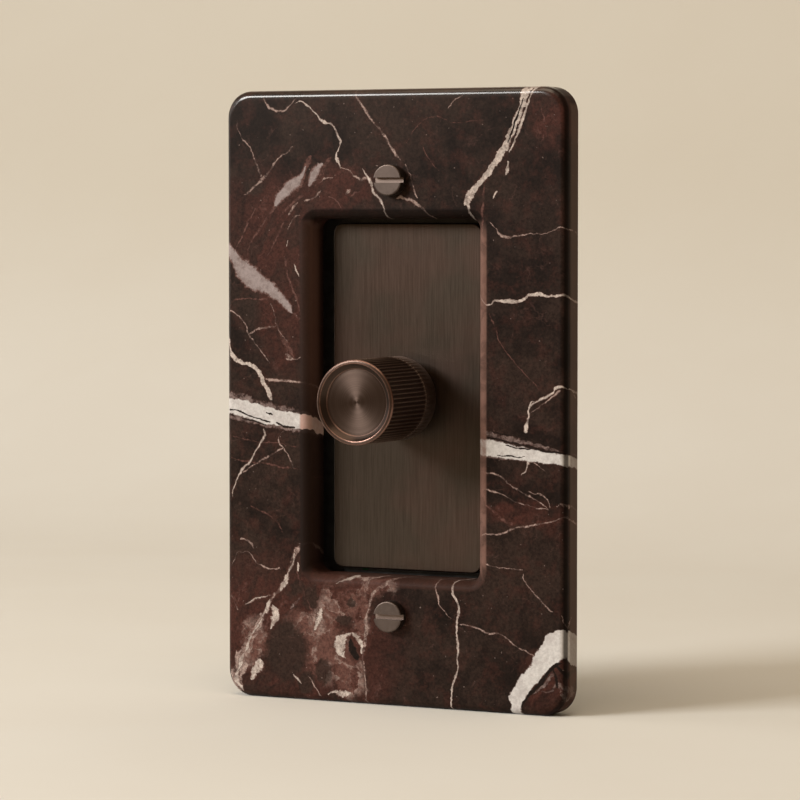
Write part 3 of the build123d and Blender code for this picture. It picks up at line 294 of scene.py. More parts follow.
        [(-21.2, 25.8, 0.2), (-20.7, 24.4, 0.7), (-20.2, 23.2, 0.2)],
    ],
    "cream": [
        [(-8.9, -45.4, 0.8), (-10, -45.9, 2), (-11.2, -47.1, 2.9), (-11.5, -48.5, 2.9), (-10.9, -49.7, 2.2),
         (-10, -50.3, 0.9)],
        [(-8.8, -45.4, 0.9), (-7.6, -46.2, 1.6), (-6.8, -47.2, 1.5), (-6.6, -49.2, 0.8)],
        [(-26, -40.8, 0.9), (-25.5, -42.6, 2.6), (-26, -44.4, 1.3), (-26.6, -45.6, 0.5)],
        [(-28.7, -51.7, 0.9), (-29.3, -53, 2.6), (-30.2, -54.4, 2), (-31, -55.8, 0.7)],
        [(-33.9, -53.8, 0.7), (-33.9, -56, 2), (-33, -57.8, 0.9)],
        [(-15.2, -40.8, 0.6), (-15.8, -42.8, 1.8), (-16.7, -45.2, 0.6)],
        [(-12.4, -56.8, 0.7), (-10.9, -57.2, 1.8), (-9, -57, 0.7)],
        [(-22.7, -34.4, 0.5), (-23.4, -36.2, 2), (-24.4, -37.8, 0.8)],
    ],
    "pearl": [
        [(-38, 30.4, 2.9), (-35.5, 27.9, 3.1), (-33.3, 25.4, 4), (-31.2, 23.3, 5.2), (-29, 21.9, 4.9),
         (-26.6, 20.8, 3.9), (-24.6, 19.4, 3.1), (-22.9, 17.6, 2.3), (-21.7, 15.8, 1)],
        [(-25.5, 36.5, 0.6), (-24.9, 37.4, 1.9), (-24, 38.7, 3.1), (-22.7, 39.9, 3.4), (-21.3, 41, 3.5),
         (-20.2, 41.8, 2.9), (-19.5, 42.7, 1.2), (-18.7, 44.5, 0.7)],
        [(-17.8, 40.5, 0.9), (-17.4, 41.8, 2.2), (-16.7, 43.3, 2.5), (-15.8, 44.5, 1.9), (-14.9, 45, 0.8)],
    ],
    "chalk": [
        [(-38, -2, 3.6), (-35.6, -2.2, 3.6), (-32.6, -2.7, 3.8), (-29.8, -3.3, 3.8), (-26.3, -3.9, 3.8),
         (-23.1, -4.5, 3.6), (-20.1, -4.9, 3.4), (-17, -5.2, 3), (-13, -5.8, 2.4)],
        [(15, -8.2, 3.1), (19.3, -8.8, 3.6), (23, -9.2, 3.5), (27, -9.8, 3), (31, -10.2, 2.5),
         (35.5, -10.4, 2.5), (38.4, -11.1, 2.2)],
        [(26, -60, 2.2), (26.2, -57.6, 2.8), (26.5, -55.7, 3.6), (28.1, -53.1, 3.6), (30.1, -51, 3.5),
         (31.4, -49.1, 4.1), (32.6, -47.6, 4.7), (34.1, -45.8, 5.6), (35.2, -43.8, 3.6), (35.9, -42.2, 1.2)],
    ],
    "crack": [
        [(-36, -3, 0.4), (-33.4, -3.4, 0.5), (-31, -4.2, 0.4), (-28.4, -4.6, 0.5), (-26.6, -5.1, 0.4)],
        [(-25.4, -5.3, 0.4), (-23, -6, 0.6), (-20.8, -6.2, 0.4)],
        [(-33, -4.7, 0.3), (-30, -5.1, 0.4), (-27.4, -5.6, 0.3)],
        [(-27.6, -3.1, 0.3), (-26.6, -3.4, 0.6), (-26, -3.7, 0.2)],
        [(18, -6.6, 0.4), (21, -6.9, 0.5), (25, -7.6, 0.5), (29, -8.6, 0.4)],
        [(21, -5.6, 0.4), (26, -6.5, 0.5), (31, -7.6, 0.5), (35, -8.6, 0.4)],
        [(24, -8.1, 0.3), (27, -8.8, 0.4), (29.6, -9, 0.3)],
        [(29.6, -8.8, 0.4), (33, -9.1, 0.6), (36.4, -9.1, 0.5)],
        [(22, -10.2, 0.2), (25, -10.4, 0.4), (28, -10.3, 0.2)],
        [(27.2, -57.6, 0.6), (28.6, -55.6, 0.9), (30.4, -53.6, 1), (32.6, -50.9, 1.1), (34.4, -49.2, 1),
         (35.6, -48.6, 0.6)],
        [(34.6, -49.2, 0.5), (35.6, -50.2, 0.9), (36.4, -51.6, 0.5)],
        [(33.9, -49.8, 0.4), (34.4, -51.6, 0.9), (34.8, -53.6, 0.5)],
        [(-9, -46.4, 0.6), (-8.8, -48.2, 1.8), (-8, -49.4, 1.6), (-7.3, -50.4, 0.5)],
        [(27.6, 57, 0.3), (26.4, 53.8, 0.5), (25.3, 51, 0.6), (24.4, 48.6, 0.4)],
    ],
}

# Clouded zones of the stone, in millimetres: the middle x and z, and the half width and half height
RED_CLOUDS = [
    (-26, 33, 11, 10), (-12, 40, 8, 4.5), (-24, 14, 5, 9), (-27, -45, 13, 13), (27, -21, 8, 2.4),
    (33, 54, 4, 6), (-14, -47, 15, 15), (33, -53, 5, 6),
]
ROSE_CLOUDS = [
    (-11.5, -39.8, 4.2, 3.4), (-14.5, -49.5, 5, 5.5), (-9.6, -53.6, 3.4, 4.2), (-19.5, -43.5, 3.5, 2.2),
    (-15.5, -45, 4.5, 3.5), (-6.8, -42, 2.2, 6), (-5, -36, 6, 1.8), (-30.2, -48.5, 2.4, 5),
]
PEBBLES = [
    (-10.5, -43, 1.5, 1), (-14.8, -53.1, 1.8, 2.3), (-17.8, -39, 1.8, 2.4), (-23, -49.6, 4.6, 6),
    (-8.9, -39.6, 1, 0.9), (-18.6, -55.5, 2, 2.2), (-30, 40.2, 2.2, 1.4), (-20.6, -37.2, 1.4, 1.6),
    (-12.5, -57.6, 1.2, 0.8),
]


def length(name, description, millimetres):
    """A size kept in the scene's settings, in metres."""
    return FloatProperty(name=name, description=description, default=millimetres * MM, unit="LENGTH")


def tint(name, description, red, green, blue):
    """A colour kept in the scene's settings."""
    return FloatVectorProperty(
        name=name, description=description, subtype="COLOR", size=4, default=(red, green, blue, 1))


class StoneSettings(bpy.types.PropertyGroup):
    """Sizes and colours of the marble cover plate."""

    window_width: length("Window width", "Clear width of the plate's window", 36)
    window_height: length("Window height", "Clear height of the plate's window", 68.5)
    corner_radius: length("Corner radius", "Rounding of the plate's four corners", 5)
    window_radius: length("Window radius", "Rounding of the window's corners", 2)
    edge_round: length("Edge round", "Rounding of the outer front edge", 1.5)
    window_round: length("Window round", "Rounding of the window's front edge", 2)
    back_chamfer: length("Back chamfer", "Chamfer of the outer back edge", 0.5)
    pocket_depth: length("Pocket depth", "Depth of the recess for a strap ear", 2)
    ground: tint("Ground", "Darkest colour of the stone", 0.0105, 0.0058, 0.0043)
    umber: tint("Umber", "Brown clouding of the stone", 0.026, 0.0150, 0.0112)
    red: tint("Red", "Iron-red clouding of the stone", 0.050, 0.0175, 0.0128)
    rose: tint("Rose", "Rose clouding of the stone", 0.105, 0.048, 0.038)
    # Painted light: this paler colour is the highlight laid where the window's rim faces the lamps; doubled,
    # it is the painted shade on pale veins over the left rim.
    edge: tint("Edge", "Paler stone where the rim catches light", 0.19, 0.105, 0.083)
    rust: tint("Rust", "Faint red veins", 0.105, 0.052, 0.043)
    blush: tint("Blush", "Pinkish veins", 0.32, 0.24, 0.212)
    bone: tint("Bone", "Pale veins", 0.47, 0.405, 0.365)
    chalk: tint("Chalk", "The widest, whitest veins", 0.57, 0.55, 0.535)
    # Painted light: this lighter red is laid on the window's bottom rim and on the top face, which both face
    # up.
    wash: tint("Wash", "Red wash on the window's rim and the top face", 0.062, 0.026, 0.019)
    # Painted shade: this near black is laid on the window's top rim and on the plate's rounded right edge.
    shade: tint("Shade", "Burnished edges", 0.004, 0.002, 0.0014)
    ash: tint("Ash", "Grainy grey margins of the white veins", 0.17, 0.125, 0.115)
    pearl: tint("Pearl", "Smooth greyish-pink flames", 0.29, 0.24, 0.235)
    flank: tint("Flank", "Sawn stone on the plate's sides", 0.15, 0.098, 0.078)


class BronzeSettings(bpy.types.PropertyGroup):
    """Sizes and colours of the insert, the knob and the screws."""

    insert_radius: length("Insert corners", "Rounding of the insert's corners", 2)
    insert_thickness: length("Insert thickness", "Thickness of the insert plate", 2)
    dish_radius: length("Dish floor", "Radius of the flat floor of the knob's dish", 6.2)
    flute_depth: length("Flute depth", "Depth of a flute", 0.32)
    rib_count: IntProperty(name="Ribs", description="Ribs round the knob", default=60, min=12)
    grub_hole: length("Grub hole", "Width of the set screw's hole under the knob", 3.1)
    grub_place: length("Grub place", "Place of the set screw's hole along the knob", -12.6)
    head_height: length("Head height", "Height of a cover screw's head", 2.1)
    slot_width: length("Slot width", "Width of a cover screw's slot", 1)
    slot_depth: length("Slot depth", "Depth of a cover screw's slot", 1.1)
    bronze: tint("Bronze", "Aged bronze", 0.108, 0.075, 0.061)
    patina: tint("Patina", "Greyer patches of the aged bronze", 0.09, 0.072, 0.058)
    worn: tint("Worn edges", "Copper that shows where an edge is worn", 0.25, 0.145, 0.115)
    crest: tint("Crest", "Rubbed crests of the knob's ribs", 0.24, 0.18, 0.15)
    screw: tint("Screws", "Bronzed steel of the screws", 0.115, 0.088, 0.076)


class StageSettings(bpy.types.PropertyGroup):
    """Camera, light and backdrop."""

    camera_place: FloatVectorProperty(
        name="Camera place", description="Where the camera stands", size=3, subtype="XYZ",
        default=(309.45 * MM, -612.8 * MM, 35.7 * MM))
    camera_turn: FloatProperty(
        name="Camera turn", description="Camera's turn to the left", default=math.radians(26.89),
        unit="ROTATION")
    camera_tilt: FloatProperty(
        name="Camera tilt", description="Camera's tilt downwards", default=math.radians(3.02),
        unit="ROTATION")
    lens: FloatProperty(
        name="Lens", description="Focal length on a 36 mm sensor", default=160.86, unit="CAMERA")
    sky: tint("Sky", "Colour of the even light from all round", 1.0, 0.69, 0.42)
    sky_strength: FloatProperty(
        name="Sky strength", description="Strength of the even light from all round", default=0.235)
    backdrop: tint("Backdrop", "Colour of the paper behind the switch", 0.595, 0.575, 0.515)
    floor: tint("Floor", "Colour of the paper under the switch", 0.685, 0.685, 0.655)
    fibre: tint("Fibre", "Colour of the paper's faint flecks", 0.5, 0.43, 0.34)


def shaded(colour, share):
    """A colour made darker or brighter."""
    return [level * share for level in colour[:3]] + [1]


class Finish:
    """A node material being put together. Points are in millimetres on Object coordinates."""

    def __init__(self, name):
        self.material = bpy.data.materials.new(name)
        self.material.use_nodes = True
        self.tree = self.material.node_tree
        self.shader = self.tree.nodes["Principled BSDF"]
        place = self.add("ShaderNodeTexCoord").outputs["Object"]
        self.point = self.vector("SCALE", place, scale=1 / MM)

    def add(self, kind, settings=None, **inputs):
        """Add a node; inputs are named with underscores, and take a value or another node's output."""
        node = self.tree.nodes.new(kind)
        for name, value in (settings or {}).items():
            setattr(node, name, value)
        for name, value in inputs.items():
            self.set(node.inputs[name.replace("_", " ")], value)
        return node

    def set(self, socket, value):
        """Link an output to a socket, or write a plain value on it."""
        if isinstance(value, bpy.types.NodeSocket):
            self.tree.links.new(value, socket)
        else:
            socket.default_value = value

    def finish(self, **inputs):
        """Set the shader's sockets and give the material back."""
        for name, value in inputs.items():
            self.set(self.shader.inputs[name.replace("_", " ")], value)
        return self.material

    def see_through_from_behind(self):
        """Show nothing of the back of a face, so that a camera behind it sees what stands in front of it."""
        behind = self.add("ShaderNodeNewGeometry").outputs["Backfacing"]
        clear = self.add("ShaderNodeBsdfTransparent").outputs[0]
        both = self.add("ShaderNodeMixShader", Fac=behind)
        self.set(both.inputs[1], self.shader.outputs[0])
        self.set(both.inputs[2], clear)
        self.set(self.tree.nodes["Material Output"].inputs["Surface"], both.outputs[0])

    def math(self, operation, first, second=None):
        node = self.add("ShaderNodeMath", {"operation": operation})
        self.set(node.inputs[0], first)
        if second is not None:
            self.set(node.inputs[1], second)
        return node.outputs[0]

    def times(self, first, second):
        return self.math("MULTIPLY", first, second)

    def plus(self, first, second):
        return self.math("ADD", first, second)

    def most(self, first, second):
        return self.math("MAXIMUM", first, second)

    def vector(self, operation, first, second=None, scale=None):
        node = self.add("ShaderNodeVectorMath", {"operation": operation})
        self.set(node.inputs[0], first)
        if second is not None:
            self.set(node.inputs[1], second)
        if scale is not None:
            self.set(node.inputs["Scale"], scale)
        return node.outputs["Value"] if operation in ("LENGTH", "DOT_PRODUCT") else node.outputs["Vector"]

    def moved(self, point, offset, share):
        """A point moved by a share of an offset."""
        return self.vector("ADD", point, self.vector("SCALE", offset, scale=share))

    def joined(self, **parts):
        """A vector put together from its X, Y and Z."""
        return self.add("ShaderNodeCombineXYZ", **parts).outputs[0]

    def mix(self, share, first, second, blend="MIX"):
        node = self.add("ShaderNodeMix", {"data_type": "RGBA", "blend_type": blend})
        self.set(node.inputs["Factor"], share)
        self.set(node.inputs[6], first)
        self.set(node.inputs[7], second)
        return node.outputs[2]

    def span(self, value, low, high, to_low=0.0, to_high=1.0):
        """Ease a value from low to high into another range."""
        node = self.add("ShaderNodeMapRange", {"interpolation_type": "SMOOTHSTEP"})
        names = ("Value", "From Min", "From Max", "To Min", "To Max")
        for name, number in zip(names, (value, low, high, to_low, to_high)):
            self.set(node.inputs[name], number)
        return node.outputs[0]

    def stretch(self, scale, turn=(0, 0, 0), point=None):
        """The points drawn out along an axis, for grain."""
        node = self.add("ShaderNodeMapping", {"vector_type": "TEXTURE"}, Vector=point or self.point)
        node.inputs["Scale"].default_value = scale
        node.inputs["Rotation"].default_value = turn
        return node.outputs[0]

    def noise(self, scale, detail, roughness, point=None, output="Fac", distortion=0.0):
        node = self.add(
            "ShaderNodeTexNoise", {"noise_dimensions": "3D"}, Vector=point or self.point, Scale=scale,
            Detail=detail, Roughness=roughness, Distortion=distortion)
        return node.outputs[output]

    def attribute(self, name):
        """A level that the piece keeps for each of its faces."""
        return self.add("ShaderNodeAttribute", {"attribute_name": name}).outputs["Fac"]

    def bump(self, height, distance):
        return self.add("ShaderNodeBump", Height=height, Distance=distance).outputs[0]


def vein_group():
    """The shared part of every vein: how deep a point lies in it, from 0 at its edge to 1 in its core."""
    group = bpy.data.node_groups.new("vein cover", "ShaderNodeTree")
    for name in ("Across", "Line", "Width", "Grain", "Blur"):
        group.interface.new_socket(name, in_out="INPUT", socket_type="NodeSocketFloat")
    group.interface.new_socket("Cover", in_out="OUTPUT", socket_type="NodeSocketFloat")
    source = group.nodes.new("NodeGroupInput").outputs
    target = group.nodes.new("NodeGroupOutput").inputs

    def step(operation, first, second=0.0, third=0.0):
        node = group.nodes.new("ShaderNodeMath")
        node.operation = operation
        for socket, value in zip(node.inputs, (first, second, third)):
            if isinstance(value, bpy.types.NodeSocket):
                group.links.new(value, socket)
            else:
                socket.default_value = value
        return node.outputs[0]

    distance = step("ABSOLUTE", step("SUBTRACT", source["Across"], source["Line"]))
    reach = step("MULTIPLY", source["Width"], source["Grain"])
    soft = step("MINIMUM", step("MULTIPLY_ADD", reach, 0.85, 0.05), source["Blur"])
    group.links.new(step("DIVIDE", step("SUBTRACT", reach, distance), soft), target["Cover"])
    return group


def draw_curve(mapping, points):
    """Write given points into a float curve that starts at 0 and ends at 1."""
    mapping.use_clip = False
    mapping.extend = "HORIZONTAL"
    curve = mapping.curves[0]
    curve.points[0].location = points[0]
    curve.points[1].location = points[-1]
    for place in points[1:-1]:
        curve.points.new(*place)
    for point in curve.points:
        point.handle_type = "AUTO_CLAMPED"
    mapping.update()


class Marble(Finish):
    """Dark red marble: clouded ground, rose breccia and listed veins that run through the slab."""

    def __init__(self, settings):
        super().__init__("polished marble")
        self.tones = settings
        parts = self.add("ShaderNodeSeparateXYZ", Vector=self.point).outputs
        self.across = parts["X"]
        self.height = parts["Z"]
        self.depth = self.plus(parts["Y"], PLATE_SIZE.y / MM)
        slant = self.joined(X=self.times(self.depth, 0.3), Z=self.times(self.depth, -0.25))
        self.slab = self.vector("SUBTRACT", self.point, slant)
        sway = self.wander(0.17, 2.0, 0.55)
        self.shiver = self.wander(0.9, 3.0, 0.62)
        self.place = self.moved(self.moved(self.slab, sway, 1.0), self.shiver, 0.8)
        self.loose = self.moved(self.moved(self.slab, sway, 7.0), self.shiver, 2.2)
        self.grit = self.noise(1.9, 5.0, 0.72, self.slab)

    def wander(self, scale, detail, roughness):
        """A random offset that changes from place to place."""
        colour = self.noise(scale, detail, roughness, self.slab, "Color")
        return self.vector("SUBTRACT", colour, (0.5, 0.5, 0.5))

    def cracks(self, point, scale):
        """How far a point lies from a net of cracks."""
        net = self.add("ShaderNodeTexVoronoi", {"feature": "DISTANCE_TO_EDGE"}, Vector=point, Scale=scale)
        return net.outputs["Distance"]

    def oval(self, place, zone, soft):
        """How deep a point lies in an oval zone, from 0 outside to 1 inside."""
        x, z, half_width, half_height = zone
        offset = self.vector("SUBTRACT", place, (x, 0, z))
        reach = self.vector("LENGTH", self.vector("MULTIPLY", offset, (1 / half_width, 0, 1 / half_height)))
        return self.span(reach, 1.0 + soft, 1.0 - soft)

    def ovals(self, place, zones, soft):
        """How deep a point lies in the nearest of several oval zones."""
        return functools.reduce(self.most, (self.oval(place, zone, soft) for zone in zones))

    def vein(self, group, points, place, swell, blur):
        """Lay one vein through the stone and give how deep each point lies in it."""
        start = Vector((points[0][0], 0, points[0][1]))
        end = Vector((points[-1][0], 0, points[-1][1]))
        chord = (end - start).length
        along = (end - start) / chord ** 2
        across = Vector((start.z - end.z, 0, end.x - start.x)) / chord
        line = []
        widths = []
        for x, z, width in points:
            step = Vector((x, 0, z)) - start
            line.append((step.dot(along), step.dot(across)))
            widths.append((step.dot(along), width))
        # The width falls to nothing at both ends
        widths = [(0.0, -0.02), (0.02, widths[0][1])] + widths[1:-1] + [(0.98, widths[-1][1]), (1.0, -0.02)]
        # Each place has Y at 1, so the Y of these two moves the vein's start to zero
        along.y = -start.dot(along)
        across.y = -start.dot(across)
        way = self.vector("DOT_PRODUCT", place, along)
        side = self.vector("DOT_PRODUCT", place, across)
        curves = []
        for curve_points in (line, widths):
            curve = self.add("ShaderNodeFloatCurve", Value=way)
            draw_curve(curve.mapping, curve_points)
            curves.append(curve.outputs[0])
        cover = self.add(
            "ShaderNodeGroup", {"node_tree": group}, Across=side, Line=curves[0], Width=curves[1],
            Grain=swell, Blur=blur)
        return cover.outputs["Cover"]

    def clouds(self):
        """The ground: near black, clouded with umber, iron red and rose, and crossed by hairlines."""
        tones = self.tones
        cloud = self.noise(0.1, 5.0, 0.65, self.loose)
        colour = self.mix(self.span(cloud, 0.36, 0.62), tones.ground, tones.umber)
        blot = self.noise(0.3, 5.0, 0.7, self.slab)
        colour = self.mix(self.span(blot, 0.46, 0.68, 0.0, 0.42), colour, tones.red)
        red_zone = self.ovals(self.loose, RED_CLOUDS, 0.4)
        streak_place = self.stretch((3.6, 1, 0.8), (0, -math.radians(56), 0), self.loose)
        streaks = self.noise(0.3, 4.0, 0.62, streak_place)
        colour = self.mix(self.times(red_zone, self.span(streaks, 0.34, 0.6, 0.25, 1.0)), colour, tones.red)
        colour = self.mix(self.times(red_zone, self.span(streaks, 0.58, 0.74, 0.0, 0.7)), colour, tones.rust)

        # Rose cloud: broken stone, each fragment with its own tone, pale along the breaks, with dark pebbles
        self.patchy = self.noise(0.28, 4.0, 0.62, self.place, distortion=0.8)
        broken = self.moved(self.slab, self.shiver, 3.0)
        fragment = self.add("ShaderNodeTexVoronoi", Vector=broken, Scale=0.24).outputs["Color"]
        fragment = self.add("ShaderNodeSeparateColor", Color=fragment).outputs["Red"]
        breaks = self.span(self.cracks(broken, 0.24), 0.09, 0.0)
        pale = self.plus(self.times(fragment, 0.35), self.patchy)
        pale = self.plus(pale, self.times(breaks, 0.12))
        mottled = self.mix(self.span(pale, 0.48, 0.68), tones.red, tones.rose)
        mottled = self.mix(self.span(pale, 0.70, 0.95, 0.0, 0.6), mottled, tones.blush)
        rose_zone = self.ovals(self.loose, ROSE_CLOUDS, 0.35)
        colour = self.mix(rose_zone, colour, mottled)
        pebbles = self.ovals(self.moved(self.slab, self.shiver, 2.4), PEBBLES, 0.2)
        colour = self.mix(self.times(pebbles, 0.85), colour, tones.umber)

        # Hairlines: fragments of a net of cracks, strongest in the rose cloud
        hairs = self.span(self.cracks(self.loose, 0.17), 0.03, 0.0)
        shown = self.plus(self.span(self.patchy, 0.5, 0.66, 0.0, 0.5), self.times(rose_zone, 0.5))
        return self.mix(self.times(self.times(hairs, shown), 0.6), colour, tones.rust)

    def veined(self, colour):
        """Lay the veins, from the faintest to the whitest, then the cracks in them."""
        tones = self.tones
        group = vein_group()
        flat = self.vector("ADD", self.vector("MULTIPLY", self.place, (1, 0, 1)), (0, 1, 0))
        girth = self.noise(0.5, 3.0, 0.65, self.slab)
        swell = self.span(girth, 0.3, 0.7, 0.34, 0.62)
        steady = self.span(girth, 0.3, 0.7, 0.45, 0.55)
        come_and_go = self.noise(0.5, 4.0, 0.7, self.loose)
        faint = self.span(come_and_go, 0.4, 0.6, 0.08, 1.0)
        clear = self.span(come_and_go, 0.36, 0.58, 0.45, 1.0)
        fleck = self.span(self.noise(1.5, 5.0, 0.75, self.place), 0.2, 0.8, -0.5, 0.5)
        dust = self.span(self.noise(0.55, 4.0, 0.7, self.place), 0.4, 0.7, 0.0, 0.4)
        snow = self.mix(dust, tones.chalk, tones.pearl)
        mist = self.mix(self.span(dust, 0.0, 0.4, 0.0, 0.6), tones.pearl, tones.ash)
        # For each tone: the colours of edge and core, the strength, the growth, the blur and the crumbling
        styles = {
            "rust": (tones.red, tones.rust, faint, swell, 0.5, 0.8),
            "blush": (tones.rust, tones.blush, faint, swell, 0.5, 0.8),
            "ash": (tones.red, tones.ash, faint, swell, 0.8, 1.6),
            "bone": (tones.rose, tones.bone, clear, swell, 0.35, 0.7),
            "cream": (tones.rose, tones.bone, clear, steady, 0.9, 1.5),
            "pearl": (tones.rust, mist, None, steady, 1.4, 0.7),
            "chalk": (tones.ash, snow, None, steady, 0.5, 0.7),
            "crack": (tones.umber, tones.ground, None, swell, 0.35, 0.5),
        }
        self.solid = None
        for tone, (edge, core, strength, growth, blur, crumble) in styles.items():
            covers = (self.vein(group, points, flat, growth, blur) for points in VEINS[tone])
            cover = self.span(functools.reduce(self.most, covers), 0.0, 1.0)
            crumbs = self.times(self.span(cover, 0.0, 0.15, 0.0, crumble), fleck)
            ragged = self.plus(cover, crumbs)
            outer = self.span(ragged, 0.02, 0.4)
            inner = self.span(ragged, 0.25, 0.85)
            if strength is not None:
                outer = self.times(outer, strength)
                inner = self.times(inner, strength)
            colour = self.mix(outer, colour, edge)
            colour = self.mix(inner, colour, core)
            if tone in ("pearl", "chalk"):
                self.solid = inner if self.solid is None else self.most(self.solid, inner)
        return colour

    def grained(self, colour):
        """Grain over everything, weak on the smooth pale veins, and tiny pale crystals."""
        grain = self.span(self.grit, 0.22, 0.78, 0.5, 1.5)
        shade = self.joined(X=grain, Y=grain, Z=grain)
        colour = self.mix(self.span(self.solid, 0.0, 1.0, 1.0, 0.35), colour, shade, blend="MULTIPLY")
        specks = self.span(self.noise(1.7, 1.0, 0.5, self.slab), 0.765, 0.81)
        return self.mix(self.times(specks, 0.5), colour, self.tones.blush)

    def edged(self, colour):
        """The window's rim with painted light on its four sides, and the plate's own edges."""
        tones = self.tones
        across = self.across
        height = self.height
        half_width = tones.window_width / MM / 2
        half_height = tones.window_height / MM / 2
        rim_width = tones.window_round / MM
        corner = tones.window_radius / MM
        aside = self.math("SUBTRACT", self.math("ABSOLUTE", across), half_width - corner)
        above = self.math("SUBTRACT", self.math("ABSOLUTE", height), half_height - corner)
        from_corner = self.joined(X=self.most(aside, 0.0), Y=self.most(above, 0.0))
        from_window = self.math("SUBTRACT", self.vector("LENGTH", from_corner), corner)
        self.rim = self.span(from_window, rim_width + 0.2, rim_width - 0.3)
        uneven = self.span(self.patchy, 0.3, 0.65, 0.4, 0.9)
        # Painted highlight: the right side of the window's rim, which faces the lamps, is made paler.
        right = self.times(self.rim, self.span(across, half_width - 0.6, half_width - 0.1))
        right = self.times(right, self.span(above, corner + 0.5, corner - 4.0))
        colour = self.mix(self.times(right, uneven), colour, tones.edge)
        left = self.times(self.rim, self.span(across, -half_width + 0.6, -half_width - 0.2))
        # Painted light: the window's bottom rim, which faces up, is marked here for a lighter red.
        low = self.times(self.rim, self.span(height, -half_height + 0.6, -half_height - 0.2, 0.0, 0.4))
        # Painted shade: the left side of the window's rim, which faces away from the lamps, is darkened
        # towards the ground colour, more strongly lower down.
        left_rim_for_painted_light = self.times(left, self.span(self.solid, 0.0, 1.0, 1.0, 0.0))
        dark = self.span(height, -10.0, 10.0, 0.95, 0.72)
        colour = self.mix(self.times(left_rim_for_painted_light, dark), colour, tones.ground)
        # Painted highlight: further in, where the left rim turns towards the window's wall, it is made paler
        # again, more towards the top.
        left_wall_highlight = self.times(self.span(self.depth, -0.6, 2.4), self.span(self.depth, 5.8, 2.6))
        left_wall_highlight = self.times(left_wall_highlight, self.span(height, -10.0, 10.0, 0.15, 0.75))
        colour = self.mix(self.times(left_rim_for_painted_light, left_wall_highlight), colour, tones.edge)
        # Painted light: the lighter red on the bottom rim.
        colour = self.mix(low, colour, tones.wash)
        # Painted shade: pale veins that cross the left rim are darkened.
        left_vein_shade = self.times(left, self.span(self.solid, 0.0, 1.0, 0.0, 0.8))
        colour = self.mix(left_vein_shade, colour, shaded(tones.edge, 2))
        # Painted shade: the window's top rim, which faces down, is darkened.
        top = self.times(self.rim, self.span(height, half_height - 0.6, half_height + 0.2, 0.0, 0.7))
        colour = self.mix(top, colour, tones.shade)

        # Painted shade on the plate's rounded right edge, which is made darker
        right_round_shade = self.times(self.span(self.depth, 0.1, 0.5), self.span(self.depth, 1.8, 1.2))
        right_round_shade = self.times(right_round_shade, self.span(across, half_width + 12.0, half_width + 16.0))
        colour = self.mix(self.times(right_round_shade, 0.75), colour, tones.shade)

        # The sides are sawn and pale; the top face, which faces up, gets painted light in the lighter red
        crown = PLATE_HIGH.z / MM
        wing = PLATE_HIGH.x / MM
        self.spread = self.math("ABSOLUTE", across)
        sawn = self.times(
            self.span(self.depth, 1.8, 2.8, 0.0, 0.5), self.span(self.spread, wing - 0.5, wing - 0.1))
        colour = self.mix(sawn, colour, tones.flank)
        return self.mix(self.span(height, crown - 0.5, crown - 0.1, 0.0, 0.4), colour, tones.wash)

    def polished(self, colour):
        """Polish: strongest along the top edge, weaker towards the foot, rubbed off the rim and the sides."""
        crown = PLATE_HIGH.z / MM
        wing = PLATE_HIGH.x / MM
        reach = self.tones.window_width / MM
        upward = self.span(self.height, -crown, crown, 0.05, 0.26)
        polish = self.times(upward, self.span(self.across, -reach, reach, 1.3, 0.5))
        brow = self.span(self.height, crown - 2.2, crown - 1.4)
        brow = self.times(brow, self.span(self.spread, wing - 2.2, wing - 3.4))
        polish = self.most(polish, brow)
        rubbed = self.most(self.times(self.rim, 0.9), self.span(self.depth, 1.6, 2.6, 0.0, 0.6))
        rubbed = self.most(rubbed, self.span(self.across, wing - 1.6, wing - 1.0, 0.0, 0.9))
        polish = self.times(polish, self.math("SUBTRACT", 1.0, rubbed))
        rough = self.plus(self.span(self.grit, 0.25, 0.75, 0.36, 0.46), self.times(rubbed, 0.2))
        return self.finish(
            Base_Color=colour, Roughness=rough, Normal=self.bump(self.grit, 0.003 * MM),
            Specular_IOR_Level=0.07, Coat_Weight=polish, Coat_Roughness=0.2, Coat_IOR=1.5)


def marble(settings):
    """Polished dark red marble."""
    stone = Marble(settings)
    colour = stone.veined(stone.clouds())
    return stone.polished(stone.edged(stone.grained(colour)))


def brushed_bronze(settings):
    """Aged bronze with fine upright brushing and slow changes of tone."""
    metal = Finish("brushed bronze")
    lines = metal.noise(4.0, 5.0, 0.75, metal.stretch((1, 1, 36)))
    patches = metal.noise(0.06, 3.0, 0.5)
    patina = metal.mix(metal.span(patches, 0.38, 0.62), settings.bronze, settings.patina)
    worked = metal.span(lines, 0.3, 0.7, 0.86, 1.14)
    worked = metal.joined(X=worked, Y=worked, Z=worked)
    tone = metal.mix(1.0, patina, worked, blend="MULTIPLY")
    rough = metal.span(lines, 0.25, 0.75, 0.38, 0.44)
    ridges = metal.bump(lines, 0.003 * MM)
    return metal.finish(
        Base_Color=tone, Metallic=1.0, Roughness=rough, Normal=ridges, Anisotropic=0.5,
        Tangent=metal.joined(X=1.0))


